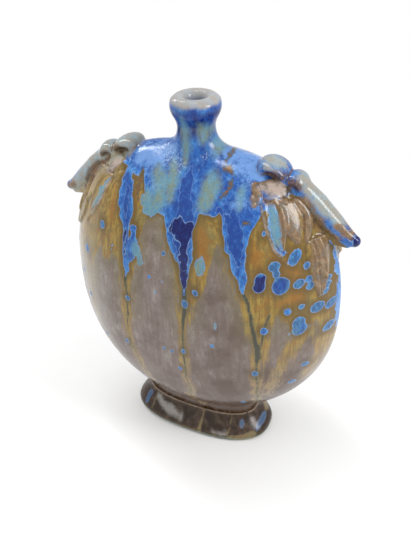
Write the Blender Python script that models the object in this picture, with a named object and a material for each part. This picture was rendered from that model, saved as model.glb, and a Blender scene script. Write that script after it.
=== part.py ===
"""Bud vase: a flat round flask on an oval foot, with a winged insect applied to each shoulder.

The vase is glazed stoneware. Two dished halves are luted together along the rim, a thrown neck
covers their joint at the top, an oval ring foot carries the body, and each insect is built up
from applied sprigs that straddle the rim. Lengths are in metres and angles in degrees. +Z is up,
the front face looks along -Y, and the origin is on the resting plane under the body's centre.
"""
import math

import bmesh
import bpy
from mathutils import Vector

# The angle over which an edge is shown sharp, and the passes that bring a point on to the skin
SHARP_ANGLE = 50.0
SETTLING_PASSES = 5

# Clay joints: the space that the luting slip fills between two pieces
SEAM_GAP = 0.0003

# Body, a cushion-shaped round flask
BODY_HALF_WIDTH = 0.0737
BODY_RISE = 0.0807
BODY_DROP = 0.0811
BODY_HALF_DEPTH = 0.0390
BODY_WALL = 0.0050
BODY_CLEARANCE = 0.0159
UPPER_EXPONENT = 2.39
LOWER_EXPONENT = 2.10
FACE_FULLNESS = 3.30
FACE_ROUNDNESS = 1.43
BODY_SEGMENTS = 44
BODY_RINGS = 11

# Neck and lip, thrown round and set a touch off the middle
NECK_OFFSET = -0.0007
NECK_HEIGHT = 0.0222
NECK_WAIST_RADIUS = 0.0087
NECK_WAIST_DROP = 0.0120
LIP_RADIUS = 0.01145
LIP_HALF_HEIGHT = 0.0045
BORE_RADIUS = 0.0043
SKIRT_HALF_LENGTH = 0.0230
SKIRT_HALF_WIDTH = 0.0150
SKIRT_EDGE = 0.0006
SKIRT_FALL = 0.0130
SKIRT_SPREAD = 0.0110
NECK_SEGMENTS = 36
LIP_STEPS = 10
NECK_STEPS = 4
SKIRT_STEPS = 8
SKIRT_SEAT_STEPS = 3
BORE_OVERRUN = 0.0050

# Foot, an oval ring that flares to its resting edge
FOOT_OFFSET = -0.0025
FOOT_HALF_LENGTH = 0.0431
FOOT_HALF_WIDTH = 0.0227
FOOT_TOE_HEIGHT = 0.0026
FOOT_TOE_INSET = 0.0020
FOOT_WAIST_HALF_LENGTH = 0.0335
FOOT_WAIST_HALF_WIDTH = 0.0145
FOOT_WAIST_HEIGHT = 0.0140
FOOT_COLLAR_HALF_LENGTH = 0.0352
FOOT_COLLAR_HALF_WIDTH = 0.0162
FOOT_RIM_WIDTH = 0.0070
FOOT_BAND_WIDTH = 0.0070
FOOT_OUTLINE_EXPONENT = 2.50
FOOT_SEGMENTS = 48
FOOT_STEPS = 5
FOOT_BAND_STEPS = 2

# Insects: the three lumps that straddle the rim. Their breadths are shares of the body's half depth.
HEAD_PLACE_SHARE = 0.516
HEAD_LENGTH = 0.0160
HEAD_BREADTH_SHARE = 0.475
HEAD_BREADTH = BODY_HALF_DEPTH * HEAD_BREADTH_SHARE
HEAD_HEIGHT = 0.0104
HEAD_LIFT = 0.0000
BROW_HOLLOW_LENGTH = 0.0085
BROW_HOLLOW_HEIGHT = 0.0050
BROW_HOLLOW_DEPTH = 0.0032
THORAX_SPACING_SHARE = 0.76
THORAX_LENGTH = 0.0114
THORAX_BREADTH_SHARE = 0.385
THORAX_BREADTH = BODY_HALF_DEPTH * THORAX_BREADTH_SHARE
THORAX_HEIGHT = 0.0114
THORAX_LIFT = 0.0012
ABDOMEN_LENGTH = 0.0350
ABDOMEN_TILT = 43.0
ABDOMEN_BOW = -0.0008
ABDOMEN_RADIUS = 0.0058
ABDOMEN_BREADTH_SHARE = 1.10
ABDOMEN_START_SHARE = 0.45
ABDOMEN_TAPER_SHARES = (0.60, 0.88, 0.98, 1.00, 0.97, 0.93, 0.88, 0.82, 0.74, 0.50)
ABDOMEN_STATION_SHARES = (0.0, 0.06, 0.16, 0.30, 0.44, 0.58, 0.72, 0.85, 0.95, 1.0)
LUMP_SEGMENTS = 16
LUMP_RINGS = 10

# Insects: the sprigs laid on the face. A route holds (across, up) pairs, as shares of the body's
# half width and of its rise over the centre.
COLLAR_ROUTE_SHARES = ((0.512, 0.880), (0.546, 0.850), (0.578, 0.812))
COLLAR_WIDTH = 0.0106
COLLAR_THICKNESS = 0.0016
FORELEG_ROUTE_SHARES = ((0.437, 0.862), (0.452, 0.846), (0.490, 0.812))
FORELEG_WIDTH = 0.0042
FORELEG_THICKNESS = 0.0020
FOREWING_ROUTE_SHARES = ((0.546, 0.796), (0.612, 0.720), (0.672, 0.578))
FOREWING_WIDTH = 0.0076
FOREWING_THICKNESS = 0.0018
MIDWING_ROUTE_SHARES = ((0.636, 0.786), (0.697, 0.702), (0.743, 0.598))
MIDWING_WIDTH = 0.0076
MIDWING_THICKNESS = 0.0017
HINDWING_ROUTE_SHARES = ((0.812, 0.590), (0.886, 0.440), (0.904, 0.262))
LEFT_HINDWING_ROUTE_SHARES = ((0.775, 0.600), (0.815, 0.520), (0.838, 0.420))
HINDWING_WIDTH = 0.0096
HINDWING_THICKNESS = 0.0022
LEG_ROUTE_SHARES = ((0.684, 0.776), (0.792, 0.688), (0.782, 0.608))
LEG_WIDTH = 0.0028
LEG_THICKNESS = 0.0018
SPRIG_STATIONS = 9

# Width and height of a sprig along its route, and height across it, as shares of its own sizes
WING_WIDTH_SHARES = (0.66, 0.88, 1.00, 1.00, 0.95, 0.85, 0.70, 0.48, 0.20)
PLATE_WIDTH_SHARES = (0.82, 0.94, 1.00, 1.00, 0.98, 0.94, 0.88, 0.80, 0.70)
LIMB_WIDTH_SHARES = (0.70, 0.95, 1.00, 0.92, 0.96, 1.00, 0.90, 0.72, 0.42)
SPRIG_HEIGHT_SHARES = (0.80, 0.95, 1.00, 1.00, 1.00, 0.96, 0.90, 0.80, 0.60)
RIBBED_SECTION_SHARES = ((-1.0, 0.45), (-0.78, 1.00), (-0.50, 0.60), (0.0, 0.90),
                         (0.50, 0.60), (0.78, 1.00), (1.0, 0.45))
CROWNED_SECTION_SHARES = ((-1.0, 0.45), (-0.60, 0.88), (0.0, 1.00), (0.60, 0.88), (1.0, 0.45))

BODY_CENTRE = BODY_CLEARANCE + BODY_DROP
BODY_TOP = BODY_CENTRE + BODY_RISE
LIP_TOP = BODY_TOP + NECK_HEIGHT
FULL_TURN = 2 * math.pi


class Flask:
    """The cushion form that the body's outer skin, its cavity and the seats on it all follow."""

    def __init__(self, growth):
        self.half_width = BODY_HALF_WIDTH + growth
        self.rise = BODY_RISE + growth
        self.drop = BODY_DROP + growth
        self.half_depth = BODY_HALF_DEPTH + growth

    def outline(self, angle):
        """The outline's point, from the body's centre, in the direction of an angle from +X."""
        across, up = math.cos(angle), math.sin(angle)
        exponent, height = self.half_of(up)
        reach = (abs(across / self.half_width) ** exponent + abs(up / height) ** exponent) ** (-1 / exponent)
        return reach * across, reach * up

    def half_of(self, up):
        """The outline's exponent and height, above or below the centre."""
        return (UPPER_EXPONENT, self.rise) if up >= 0 else (LOWER_EXPONENT, self.drop)

    def share(self, x, z):
        """How far a point of the face lies from the centre, as a share of the way to the outline."""
        up = z - BODY_CENTRE
        exponent, height = self.half_of(up)
        return (abs(x / self.half_width) ** exponent + abs(up / height) ** exponent) ** (1 / exponent)

    def depth(self, share):
        """Half the body's depth where the outline is shrunk to a share."""
        return self.half_depth * max(0.0, 1 - share ** FACE_FULLNESS) ** (1 / FACE_ROUNDNESS)

    def share_at(self, depth):
        """The share at which half the body's depth is a given length."""
        return (1 - (abs(depth) / self.half_depth) ** FACE_ROUNDNESS) ** (1 / FACE_FULLNESS)

    def height(self, x, y, direction):
        """Height of the skin above (direction 1) or below (direction -1) a point in plan."""
        exponent, height = self.half_of(direction)
        room = self.share_at(y) ** exponent - abs(x / self.half_width) ** exponent
        return BODY_CENTRE + direction * height * room ** (1 / exponent)

    def field(self, point):
        """A value that is zero on the skin and grows outwards, and its slope."""
        up = point.z - BODY_CENTRE
        exponent, height = self.half_of(up)
        across, rise, depth = abs(point.x) / self.half_width, abs(up) / height, abs(point.y) / self.half_depth
        share = (across ** exponent + rise ** exponent) ** (1 / exponent)
        spread = FACE_FULLNESS * share ** (FACE_FULLNESS - exponent)
        slope = Vector((math.copysign(spread * across ** (exponent - 1) / self.half_width, point.x),
                        math.copysign(FACE_ROUNDNESS * depth ** (FACE_ROUNDNESS - 1) / self.half_depth, point.y),
                        math.copysign(spread * rise ** (exponent - 1) / height, up)))
        return share ** FACE_FULLNESS + depth ** FACE_ROUNDNESS - 1, slope

    def settle(self, point):
        """The skin's point nearest to a point close to it, and the skin's normal there."""
        for _ in range(SETTLING_PASSES):
            value, slope = self.field(point)
            point = point - slope * (value / slope.length_squared)
        return point, slope.normalized()


SKIN = Flask(0)
CAVITY = Flask(-BODY_WALL)
SEAT = Flask(SEAM_GAP)


def clear_scene():
    for old in list(bpy.data.objects):
        bpy.data.objects.remove(old, do_unlink=True)


def glaze(name, colour, roughness):
    """A glaze's plain material."""
    material = bpy.data.materials.new(name)
    material.use_nodes = True
    shader = material.node_tree.nodes["Principled BSDF"]
    shader.inputs["Base Color"].default_value = (*colour, 1)
    shader.inputs["Roughness"].default_value = roughness
    shader.inputs["Metallic"].default_value = 0
    return material


def add_object(name, points, faces, material=None):
    """An object from points and faces, with its faces turned outwards and its sharp edges kept."""
    mesh = bpy.data.meshes.new(name)
    mesh.from_pydata([tuple(point) for point in points], [], faces)
    work = bmesh.new()
    work.from_mesh(mesh)
    bmesh.ops.recalc_face_normals(work, faces=work.faces)
    work.to_mesh(mesh)
    work.free()
    mesh.shade_smooth()
    mesh.set_sharp_from_angle(angle=math.radians(SHARP_ANGLE))
    item = bpy.data.objects.new(name, mesh)
    bpy.context.scene.collection.objects.link(item)
    if material:
        mesh.materials.append(material)
    return item


def ring_faces(rings, size, closed_ends):
    """Quads that join equal rings in order, with the last ring joined to the first or two fans."""
    faces = []
    pairs = len(rings) - 1 if closed_ends else len(rings)
    for row in range(pairs):
        lower, upper = row * size, (row + 1) % len(rings) * size
        for column in range(size):
            following = (column + 1) % size
            faces.append((lower + column, lower + following, upper + following, upper + column))
    return faces


def add_tube(name, rings, material=None):
    """A closed ring-shaped solid: the last ring of points meets the first."""
    points = [point for ring in rings for point in ring]
    return add_object(name, points, ring_faces(rings, len(rings[0]), False), material)


def add_bead(name, start, rings, end, material=None):
    """A closed solid from rings of points with a pole at each end."""
    size = len(rings[0])
    points = [point for ring in rings for point in ring] + [start, end]
    faces = ring_faces(rings, size, True)
    first, last = len(points) - 2, len(points) - 1
    base = (len(rings) - 1) * size
    for column in range(size):
        following = (column + 1) % size
        faces.append((first, following, column))
        faces.append((last, base + column, base + following))
    return add_object(name, points, faces, material)


def cut(item, *cutters):
    """Take the cutters' forms out of an object with Boolean modifiers."""
    for cutter in cutters:
        step = item.modifiers.new(f"cut by {cutter.name}", "BOOLEAN")
        step.operation = "DIFFERENCE"
        step.solver = "EXACT"
        step.object = cutter
    return item


def as_cutter(item):
    """Mark an object as a cutter, which isn't a piece of the vase."""
    item.hide_render = True
    item.display_type = "WIRE"
    return item


def flask_ring(form, share, depth, face):
    """One ring round the body, at a share of the outline and a depth on one face."""
    ring = []
    for segment in range(BODY_SEGMENTS):
        across, up = form.outline(FULL_TURN * segment / BODY_SEGMENTS)
        ring.append((share * across, face * depth, BODY_CENTRE + share * up))
    return ring


def flask_rings(form, face, seam):
    """The rings of one face, from near its middle out to the seam plane."""
    rings = []
    for step in range(1, BODY_RINGS + 1):
        share = math.sin(math.pi / 2 * step / BODY_RINGS)
        last = step == BODY_RINGS
        depth = seam if last else form.depth(share)
        rings.append(flask_ring(form, form.share_at(seam) if last else share, depth, face))
    return rings


def body_seat():
    """The body's outer form, grown by the seam's gap, which shapes the undersides of the lumps."""
    half = flask_rings(SEAT, -1, 0)
    other = flask_rings(SEAT, 1, 0)[:-1]
    front = (0, -SEAT.half_depth, BODY_CENTRE)
    back = (0, SEAT.half_depth, BODY_CENTRE)
    return as_cutter(add_bead("body_seat", front, half + other[::-1], back))


def body_shell(name, face, material, bore):
    """One press-moulded half: a dished wall that ends at the seam plane."""
    seam = SEAM_GAP / 2
    outer = flask_rings(SKIN, face, seam)
    inner = flask_rings(CAVITY, face, seam)
    outer_pole = (0, face * SKIN.half_depth, BODY_CENTRE)
    inner_pole = (0, face * CAVITY.half_depth, BODY_CENTRE)
    return cut(add_bead(name, outer_pole, outer + inner[::-1], inner_pole, material), bore)


def bore_cutter():
    """The way from the neck into the body, drilled through the joint of the two halves."""
    rings = []
    for height in (BODY_TOP - BODY_WALL - BORE_OVERRUN, LIP_TOP):
        rings.append([(NECK_OFFSET + BORE_RADIUS * math.cos(FULL_TURN * i / NECK_SEGMENTS),
                       BORE_RADIUS * math.sin(FULL_TURN * i / NECK_SEGMENTS), height)
                      for i in range(NECK_SEGMENTS)])
    low = (NECK_OFFSET, 0, rings[0][0][2])
    high = (NECK_OFFSET, 0, LIP_TOP)
    return as_cutter(add_bead("bore_cutter", low, rings, high))


def neck_ring(radius, height):
    """A level ring round the neck's axis."""
    ring = []
    for segment in range(NECK_SEGMENTS):
        angle = FULL_TURN * segment / NECK_SEGMENTS
        ring.append((NECK_OFFSET + radius * math.cos(angle), radius * math.sin(angle), height))
    return ring


def skirt_reach(angle):
    """How far the skirt spreads over the shoulder in one direction."""
    across = (math.cos(angle) / SKIRT_HALF_LENGTH) ** 2 + (math.sin(angle) / SKIRT_HALF_WIDTH) ** 2
    return across ** -0.5


def skirt_point(angle, reach, lift):
    """A point over the shoulder, lifted clear of the skin."""
    x = NECK_OFFSET + reach * math.cos(angle)
    y = reach * math.sin(angle)
    return Vector((x, y, SKIN.height(x, y, 1) + lift))


def skirt_rings(count):
    """Rings of the fillet that carries the neck's waist out on to the shoulders."""
    rings = [[] for _ in range(count)]
    waist = LIP_TOP - NECK_WAIST_DROP
    for segment in range(NECK_SEGMENTS):
        angle = FULL_TURN * segment / NECK_SEGMENTS
        outward = Vector((math.cos(angle), math.sin(angle), 0))
        start = Vector((NECK_OFFSET, 0, waist)) + outward * NECK_WAIST_RADIUS
        reach = skirt_reach(angle)
        end = skirt_point(angle, reach, SEAM_GAP + SKIRT_EDGE)
        inside = skirt_point(angle, reach - SKIRT_EDGE, SEAM_GAP + SKIRT_EDGE)
        leave = Vector((0, 0, -SKIRT_FALL))
        land = (end - inside).normalized() * SKIRT_SPREAD
        for row in range(count):
            t = (row + 1) / count
            rings[row].append(start * (2 * t ** 3 - 3 * t ** 2 + 1) + leave * (t ** 3 - 2 * t ** 2 + t)
                              + end * (3 * t ** 2 - 2 * t ** 3) + land * (t ** 3 - t ** 2))
    return rings


def neck_and_lip(material):
    """The thrown neck: bore, rolled lip, waist and the skirt that sits over the joint."""
    lip_centre = LIP_TOP - LIP_HALF_HEIGHT
    roll_radius = (LIP_RADIUS - BORE_RADIUS) / 2
    roll_middle = (LIP_RADIUS + BORE_RADIUS) / 2
    waist = LIP_TOP - NECK_WAIST_DROP
    rings = []
    for step in range(LIP_STEPS + 1):
        angle = math.pi * (1 - step / LIP_STEPS)
        rings.append(neck_ring(roll_middle + roll_radius * math.cos(angle),
                               lip_centre + LIP_HALF_HEIGHT * math.sin(angle)))
    for step in range(1, NECK_STEPS + 1):
        swing = (1 + math.cos(math.pi * step / NECK_STEPS)) / 2
        rings.append(neck_ring(NECK_WAIST_RADIUS + (LIP_RADIUS - NECK_WAIST_RADIUS) * swing,
                               lip_centre + (waist - lip_centre) * step / NECK_STEPS))
    rings += skirt_rings(SKIRT_STEPS)
    for step in range(SKIRT_SEAT_STEPS + 1):
        ring = []
        for segment in range(NECK_SEGMENTS):
            angle = FULL_TURN * segment / NECK_SEGMENTS
            reach = BORE_RADIUS + (skirt_reach(angle) - BORE_RADIUS) * (1 - step / SKIRT_SEAT_STEPS)
            ring.append(skirt_point(angle, reach, SEAM_GAP))
        rings.append(ring)
    rings.append(neck_ring(BORE_RADIUS, (BODY_TOP + lip_centre) / 2))
    return add_tube("neck_and_lip", rings, material)


def foot_ring_points(half_length, half_width, height):
    """An oval ring of the foot. A height of None lays it against the body's underside."""
    ring = []
    for segment in range(FOOT_SEGMENTS):
        angle = FULL_TURN * segment / FOOT_SEGMENTS
        across, along = math.cos(angle), math.sin(angle)
        size = abs(across) ** FOOT_OUTLINE_EXPONENT + abs(along) ** FOOT_OUTLINE_EXPONENT
        reach = size ** (-1 / FOOT_OUTLINE_EXPONENT)
        x = FOOT_OFFSET + half_length * reach * across
        y = half_width * reach * along
        ring.append((x, y, SKIN.height(x, y, -1) - SEAM_GAP if height is None else height))
    return ring


def foot_ring(material):
    """The oval foot, open underneath, whose top is fitted to the body."""
    rings = [foot_ring_points(FOOT_HALF_LENGTH - FOOT_TOE_INSET, FOOT_HALF_WIDTH - FOOT_TOE_INSET, 0)]
    for step in range(FOOT_STEPS + 1):
        swing = (1 + math.cos(math.pi * step / FOOT_STEPS)) / 2
        rings.append(foot_ring_points(
            FOOT_WAIST_HALF_LENGTH + (FOOT_HALF_LENGTH - FOOT_WAIST_HALF_LENGTH) * swing,
            FOOT_WAIST_HALF_WIDTH + (FOOT_HALF_WIDTH - FOOT_WAIST_HALF_WIDTH) * swing,
            FOOT_TOE_HEIGHT + (FOOT_WAIST_HEIGHT - FOOT_TOE_HEIGHT) * step / FOOT_STEPS))
    inner_length = FOOT_COLLAR_HALF_LENGTH - FOOT_BAND_WIDTH
    inner_width = FOOT_COLLAR_HALF_WIDTH - FOOT_BAND_WIDTH
    for step in range(FOOT_BAND_STEPS + 1):
        inset = FOOT_BAND_WIDTH * step / FOOT_BAND_STEPS
        rings.append(foot_ring_points(FOOT_COLLAR_HALF_LENGTH - inset, FOOT_COLLAR_HALF_WIDTH - inset, None))
    base_length = FOOT_HALF_LENGTH - FOOT_TOE_INSET - FOOT_RIM_WIDTH
    base_width = FOOT_HALF_WIDTH - FOOT_TOE_INSET - FOOT_RIM_WIDTH
    rings.append(foot_ring_points((inner_length + base_length) / 2, (inner_width + base_width) / 2,
                                  FOOT_WAIST_HEIGHT / 2))
    rings.append(foot_ring_points(base_length, base_width, 0))
    return add_tube("foot_ring", rings, material)


def rim_frame(across, side):
    """The rim's point at a distance across, with the directions along the rim and out of it."""
    height = SKIN.height(across, 0, 1)
    share = across / SKIN.half_width
    fall = share ** (UPPER_EXPONENT - 1) * (1 - share ** UPPER_EXPONENT) ** (1 / UPPER_EXPONENT - 1)
    along = Vector((1, 0, -fall * SKIN.rise / SKIN.half_width)).normalized()
    outward = Vector((-along.z, 0, along.x))
    mirrored = Vector((side, 1, 1))
    return Vector((across, 0, height)) * mirrored, along * mirrored, outward * mirrored


def lump(name, centre, along, outward, length, breadth, height, material=None, growth=0):
    """An egg-shaped lump from its full sizes, along the rim, across it and out of it."""
    rings = []
    across = Vector((0, 1, 0))
    sizes = [size / 2 + growth for size in (length, breadth, height)]
    for row in range(1, LUMP_RINGS):
        polar = math.pi * row / LUMP_RINGS
        ring = []
        for segment in range(LUMP_SEGMENTS):
            angle = FULL_TURN * segment / LUMP_SEGMENTS
            ring.append(centre + across * sizes[1] * math.cos(polar)
                        + along * sizes[0] * math.sin(polar) * math.cos(angle)
                        + outward * sizes[2] * math.sin(polar) * math.sin(angle))
        rings.append(ring)
    return add_bead(name, centre + across * sizes[1], rings, centre - across * sizes[1], material)


def abdomen(name, start, side, material=None, growth=0):
    """The horn-like abdomen: a tapering bead that points out and down past the shoulder."""
    tilt = math.radians(ABDOMEN_TILT)
    along = Vector((side * math.cos(tilt), 0, -math.sin(tilt)))
    outward = Vector((side * math.sin(tilt), 0, math.cos(tilt)))
    across = Vector((0, 1, 0))
    rings = []
    for place, taper in zip(ABDOMEN_STATION_SHARES, ABDOMEN_TAPER_SHARES):
        middle = start + along * ABDOMEN_LENGTH * place + outward * ABDOMEN_BOW * math.sin(math.pi * place)
        radius = ABDOMEN_RADIUS * taper + growth
        ring = []
        for segment in range(LUMP_SEGMENTS):
            angle = FULL_TURN * segment / LUMP_SEGMENTS
            ring.append(middle + outward * radius * math.cos(angle)
                        + across * radius * ABDOMEN_BREADTH_SHARE * math.sin(angle))
        rings.append(ring)
    cap = ABDOMEN_RADIUS * ABDOMEN_TAPER_SHARES[-1] / 2 + growth
    last = start + along * (ABDOMEN_LENGTH + cap)
    return add_bead(name, start - along * cap, rings, last, material)


def route_point(route, t, face):
    """A point on the skin, on the curve through a route's three places."""
    first, bend, last = route
    spot = [first[axis] * (1 - t) ** 2 + 2 * bend[axis] * t * (1 - t) + last[axis] * t ** 2 for axis in (0, 1)]
    x, z = BODY_HALF_WIDTH * spot[0], BODY_CENTRE + BODY_RISE * spot[1]
    return SKIN.settle(Vector((x, face * SKIN.depth(SKIN.share(x, z)), z)))


def sprig(name, route, width, thickness, section, widths, side, face, material):
    """A pad laid on the face along a route, with its section's ribs or crown on top."""
    top, bottom = [], []
    mirrored = Vector((side, 1, 1))
    stride = 1 / (SPRIG_STATIONS - 1)
    for step in range(SPRIG_STATIONS):
        spine, normal = route_point(route, step * stride, face)
        ahead, _ = route_point(route, step * stride + stride / 2, face)
        behind, _ = route_point(route, step * stride - stride / 2, face)
        across = normal.cross(ahead - behind).normalized() * width / 2 * widths[step]
        for place, height in section:
            seat, normal_here = SKIN.settle(spine + across * place)
            lift = SEAM_GAP + thickness * height * SPRIG_HEIGHT_SHARES[step]
            bottom.append((seat + normal_here * SEAM_GAP) * mirrored)
            top.append((seat + normal_here * lift) * mirrored)
    count = len(section)
    total = len(top)
    faces = []
    for step in range(SPRIG_STATIONS - 1):
        for place in range(count - 1):
            corner = step * count + place
            quad = (corner, corner + 1, corner + count + 1, corner + count)
            faces.append(quad)
            faces.append(tuple(total + index for index in reversed(quad)))
    border = list(range(count))
    border += [step * count + count - 1 for step in range(1, SPRIG_STATIONS)]
    border += [total - count + place for place in range(count - 2, -1, -1)]
    border += [step * count for step in range(SPRIG_STATIONS - 2, 0, -1)]
    for index, corner in enumerate(border):
        following = border[(index + 1) % len(border)]
        faces.append((corner, total + corner, total + following, following))
    return add_object(name, top + bottom, faces, material)


def insect(prefix, side, hindwing_route, seat, glazes):
    """One insect: head, thorax and abdomen on the rim, and plates, legs and wings on both faces."""
    across = BODY_HALF_WIDTH * HEAD_PLACE_SHARE
    place, along, outward = rim_frame(across, side)
    centre = place + outward * HEAD_LIFT
    head_sizes = (centre, along, outward, HEAD_LENGTH, HEAD_BREADTH, HEAD_HEIGHT)
    head = lump(f"{prefix}_head", *head_sizes, glazes["pale"])
    head_clearance = as_cutter(lump(f"{prefix}_head_clearance", *head_sizes, growth=SEAM_GAP))
    hollows = []
    for face, word in ((-1, "front"), (1, "back")):
        middle = centre + Vector((0, face * HEAD_BREADTH / 2, 0)) + along * BROW_HOLLOW_LENGTH / 4
        hollow = lump(f"{prefix}_brow_hollow_{word}", middle, along, outward,
                      BROW_HOLLOW_LENGTH, BROW_HOLLOW_DEPTH * 2, BROW_HOLLOW_HEIGHT)
        hollows.append(as_cutter(hollow))
    cut(head, seat, *hollows)

    spacing = (HEAD_LENGTH + THORAX_LENGTH) / 2 * THORAX_SPACING_SHARE
    place, along, outward = rim_frame(across + spacing * abs(along.x), side)
    centre = place + outward * THORAX_LIFT
    thorax_sizes = (centre, along, outward, THORAX_LENGTH, THORAX_BREADTH, THORAX_HEIGHT)
    thorax = lump(f"{prefix}_thorax", *thorax_sizes, glazes["blue"])
    thorax_clearance = as_cutter(lump(f"{prefix}_thorax_clearance", *thorax_sizes, growth=SEAM_GAP))
    cut(thorax, seat, head_clearance)

    start = centre + along * THORAX_LENGTH / 2 * ABDOMEN_START_SHARE
    cut(abdomen(f"{prefix}_abdomen", start, side, glazes["blue"]), seat, head_clearance, thorax_clearance)
    abdomen_clearance = as_cutter(abdomen(f"{prefix}_abdomen_clearance", start, side, growth=SEAM_GAP))

    for face, word in ((-1, "front"), (1, "back")):
        for part, route, width, thickness, section, widths, colour in (
                ("collar", COLLAR_ROUTE_SHARES, COLLAR_WIDTH, COLLAR_THICKNESS,
                 CROWNED_SECTION_SHARES, PLATE_WIDTH_SHARES, "pale"),
                ("foreleg", FORELEG_ROUTE_SHARES, FORELEG_WIDTH, FORELEG_THICKNESS,
                 CROWNED_SECTION_SHARES, LIMB_WIDTH_SHARES, "brown"),
                ("forewing", FOREWING_ROUTE_SHARES, FOREWING_WIDTH, FOREWING_THICKNESS,
                 RIBBED_SECTION_SHARES, WING_WIDTH_SHARES, "blue"),
                ("midwing", MIDWING_ROUTE_SHARES, MIDWING_WIDTH, MIDWING_THICKNESS,
                 RIBBED_SECTION_SHARES, WING_WIDTH_SHARES, "ochre"),
                ("hindwing", hindwing_route, HINDWING_WIDTH, HINDWING_THICKNESS,
                 RIBBED_SECTION_SHARES, WING_WIDTH_SHARES, "ochre"),
                ("leg", LEG_ROUTE_SHARES, LEG_WIDTH, LEG_THICKNESS,
                 CROWNED_SECTION_SHARES, LIMB_WIDTH_SHARES, "ochre")):
            item = sprig(f"{prefix}_{part}_{word}", route, width, thickness, section, widths,
                         side, face, glazes[colour])
            cut(item, head_clearance, thorax_clearance, abdomen_clearance)


def main():
    clear_scene()
    glazes = {
        "body": glaze("ochre body glaze", (0.30, 0.22, 0.12), 0.22),
        "neck": glaze("blue neck glaze", (0.05, 0.13, 0.42), 0.18),
        "foot": glaze("brown foot glaze", (0.09, 0.06, 0.05), 0.18),
        "blue": glaze("blue sprig glaze", (0.12, 0.24, 0.50), 0.20),
        "pale": glaze("pale sprig glaze", (0.42, 0.40, 0.30), 0.22),
        "ochre": glaze("ochre sprig glaze", (0.38, 0.22, 0.09), 0.26),
        "brown": glaze("brown sprig glaze", (0.16, 0.09, 0.04), 0.26),
    }
    bore = bore_cutter()
    body_shell("body_front_shell", -1, glazes["body"], bore)
    body_shell("body_back_shell", 1, glazes["body"], bore)
    neck_and_lip(glazes["neck"])
    foot_ring(glazes["foot"])
    seat = body_seat()
    insect("right", 1, HINDWING_ROUTE_SHARES, seat, glazes)
    insect("left", -1, LEFT_HINDWING_ROUTE_SHARES, seat, glazes)


main()
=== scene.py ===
"""Looks of a bud vase: a flat round flask with a winged insect applied to each shoulder.

The vase is glazed stoneware. Each piece is modelled as a field, a value that is below zero inside the
clay, and its surface is netted from that field, so that sprigs, neck and foot flow into the body as
luted and glazed clay does. Blue glaze was poured over the shoulders and ran down an ochre and mauve
ground. Its runs and crystals are listed and stored on the meshes as distances in millimetres,
which the glaze material turns into colours. Lengths are in metres where no comment says millimetres.
+Z is up and the front faces -Y.
"""
import math

import bpy
import numpy as np
from bpy.props import FloatProperty, FloatVectorProperty, PointerProperty
from mathutils import Matrix, Vector


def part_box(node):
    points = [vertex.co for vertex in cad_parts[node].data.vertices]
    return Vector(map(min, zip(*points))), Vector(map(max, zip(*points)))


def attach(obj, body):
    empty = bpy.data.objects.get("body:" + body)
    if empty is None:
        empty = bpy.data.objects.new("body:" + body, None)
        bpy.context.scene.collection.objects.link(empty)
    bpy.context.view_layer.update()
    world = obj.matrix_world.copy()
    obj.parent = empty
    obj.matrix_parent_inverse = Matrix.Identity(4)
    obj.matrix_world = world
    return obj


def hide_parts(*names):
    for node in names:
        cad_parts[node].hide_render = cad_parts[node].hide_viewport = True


bl_info = {
    "name": "Glazed Bud Vase",
    "version": (1, 0, 0),
    "blender": (4, 5, 0),
    "location": "3D View > Sidebar > Bud Vase",
    "description": "Builds a glazed flask vase with insect handles around its packed model",
    "category": "Add Mesh",
}

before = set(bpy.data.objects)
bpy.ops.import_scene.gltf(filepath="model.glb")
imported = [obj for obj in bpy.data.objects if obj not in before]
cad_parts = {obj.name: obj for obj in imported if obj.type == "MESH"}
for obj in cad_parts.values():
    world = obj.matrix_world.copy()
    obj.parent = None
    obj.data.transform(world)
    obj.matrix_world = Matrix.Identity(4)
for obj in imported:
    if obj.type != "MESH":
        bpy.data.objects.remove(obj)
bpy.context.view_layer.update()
MM = 0.001

# Body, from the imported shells. The upper and lower halves are superellipses of their own.
SHELL_LOW, SHELL_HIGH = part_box("body_front_shell")
HALF_WIDTH = (SHELL_HIGH.x - SHELL_LOW.x) / 2
HALF_DEPTH = -SHELL_LOW.y
CENTRE_SHARE = 0.5012
CENTRE = SHELL_LOW.z + (SHELL_HIGH.z - SHELL_LOW.z) * CENTRE_SHARE
RISE = SHELL_HIGH.z - CENTRE
DROP = CENTRE - SHELL_LOW.z
UPPER_EXPONENT = 2.39
LOWER_EXPONENT = 2.10
FACE_FULLNESS = 3.30
FACE_ROUNDNESS = 1.43
WALL = 0.0050
BORE_CLEARANCE = 0.0003

# Neck and foot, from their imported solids, and their fine forms
NECK_LOW, NECK_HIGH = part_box("neck_and_lip")
NECK_X = (NECK_LOW.x + NECK_HIGH.x) / 2
LIP_TOP = NECK_HIGH.z
MOUTH_ROUNDING = 0.0015
FOOT_LOW, FOOT_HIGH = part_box("foot_ring")
FOOT_X = (FOOT_LOW.x + FOOT_HIGH.x) / 2
FOOT_HALF_LENGTH = (FOOT_HIGH.x - FOOT_LOW.x) / 2
FOOT_HALF_WIDTH = (FOOT_HIGH.y - FOOT_LOW.y) / 2
FOOT_EXPONENT = 2.5
SOLE_ROUNDING = 0.0030
RECESS_ROUNDING = 0.0012
BEAD_OUTSET = 0.0010
BEAD_LIFT = 0.0016
BEAD_RADIUS = 0.0007
BEAD_BLEND = 0.0008
TOE_LINE_HEIGHT = 0.0034
TOE_LINE_RADIUS = 0.0004
TOE_LINE_BLEND = 0.0006

# Netting: the cells' sizes, the room round each box, and how points settle on the surface
BODY_CELL = 0.0011
NECK_CELL = 0.0007
FOOT_CELL = 0.0008
INSECT_CELL = 0.0006
NECK_NET_DEPTH = 0.016
FOOT_NET_MARGIN = 0.002
FOOT_NET_RISE = 0.012
INSECT_NET_MARGIN = 0.004

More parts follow.
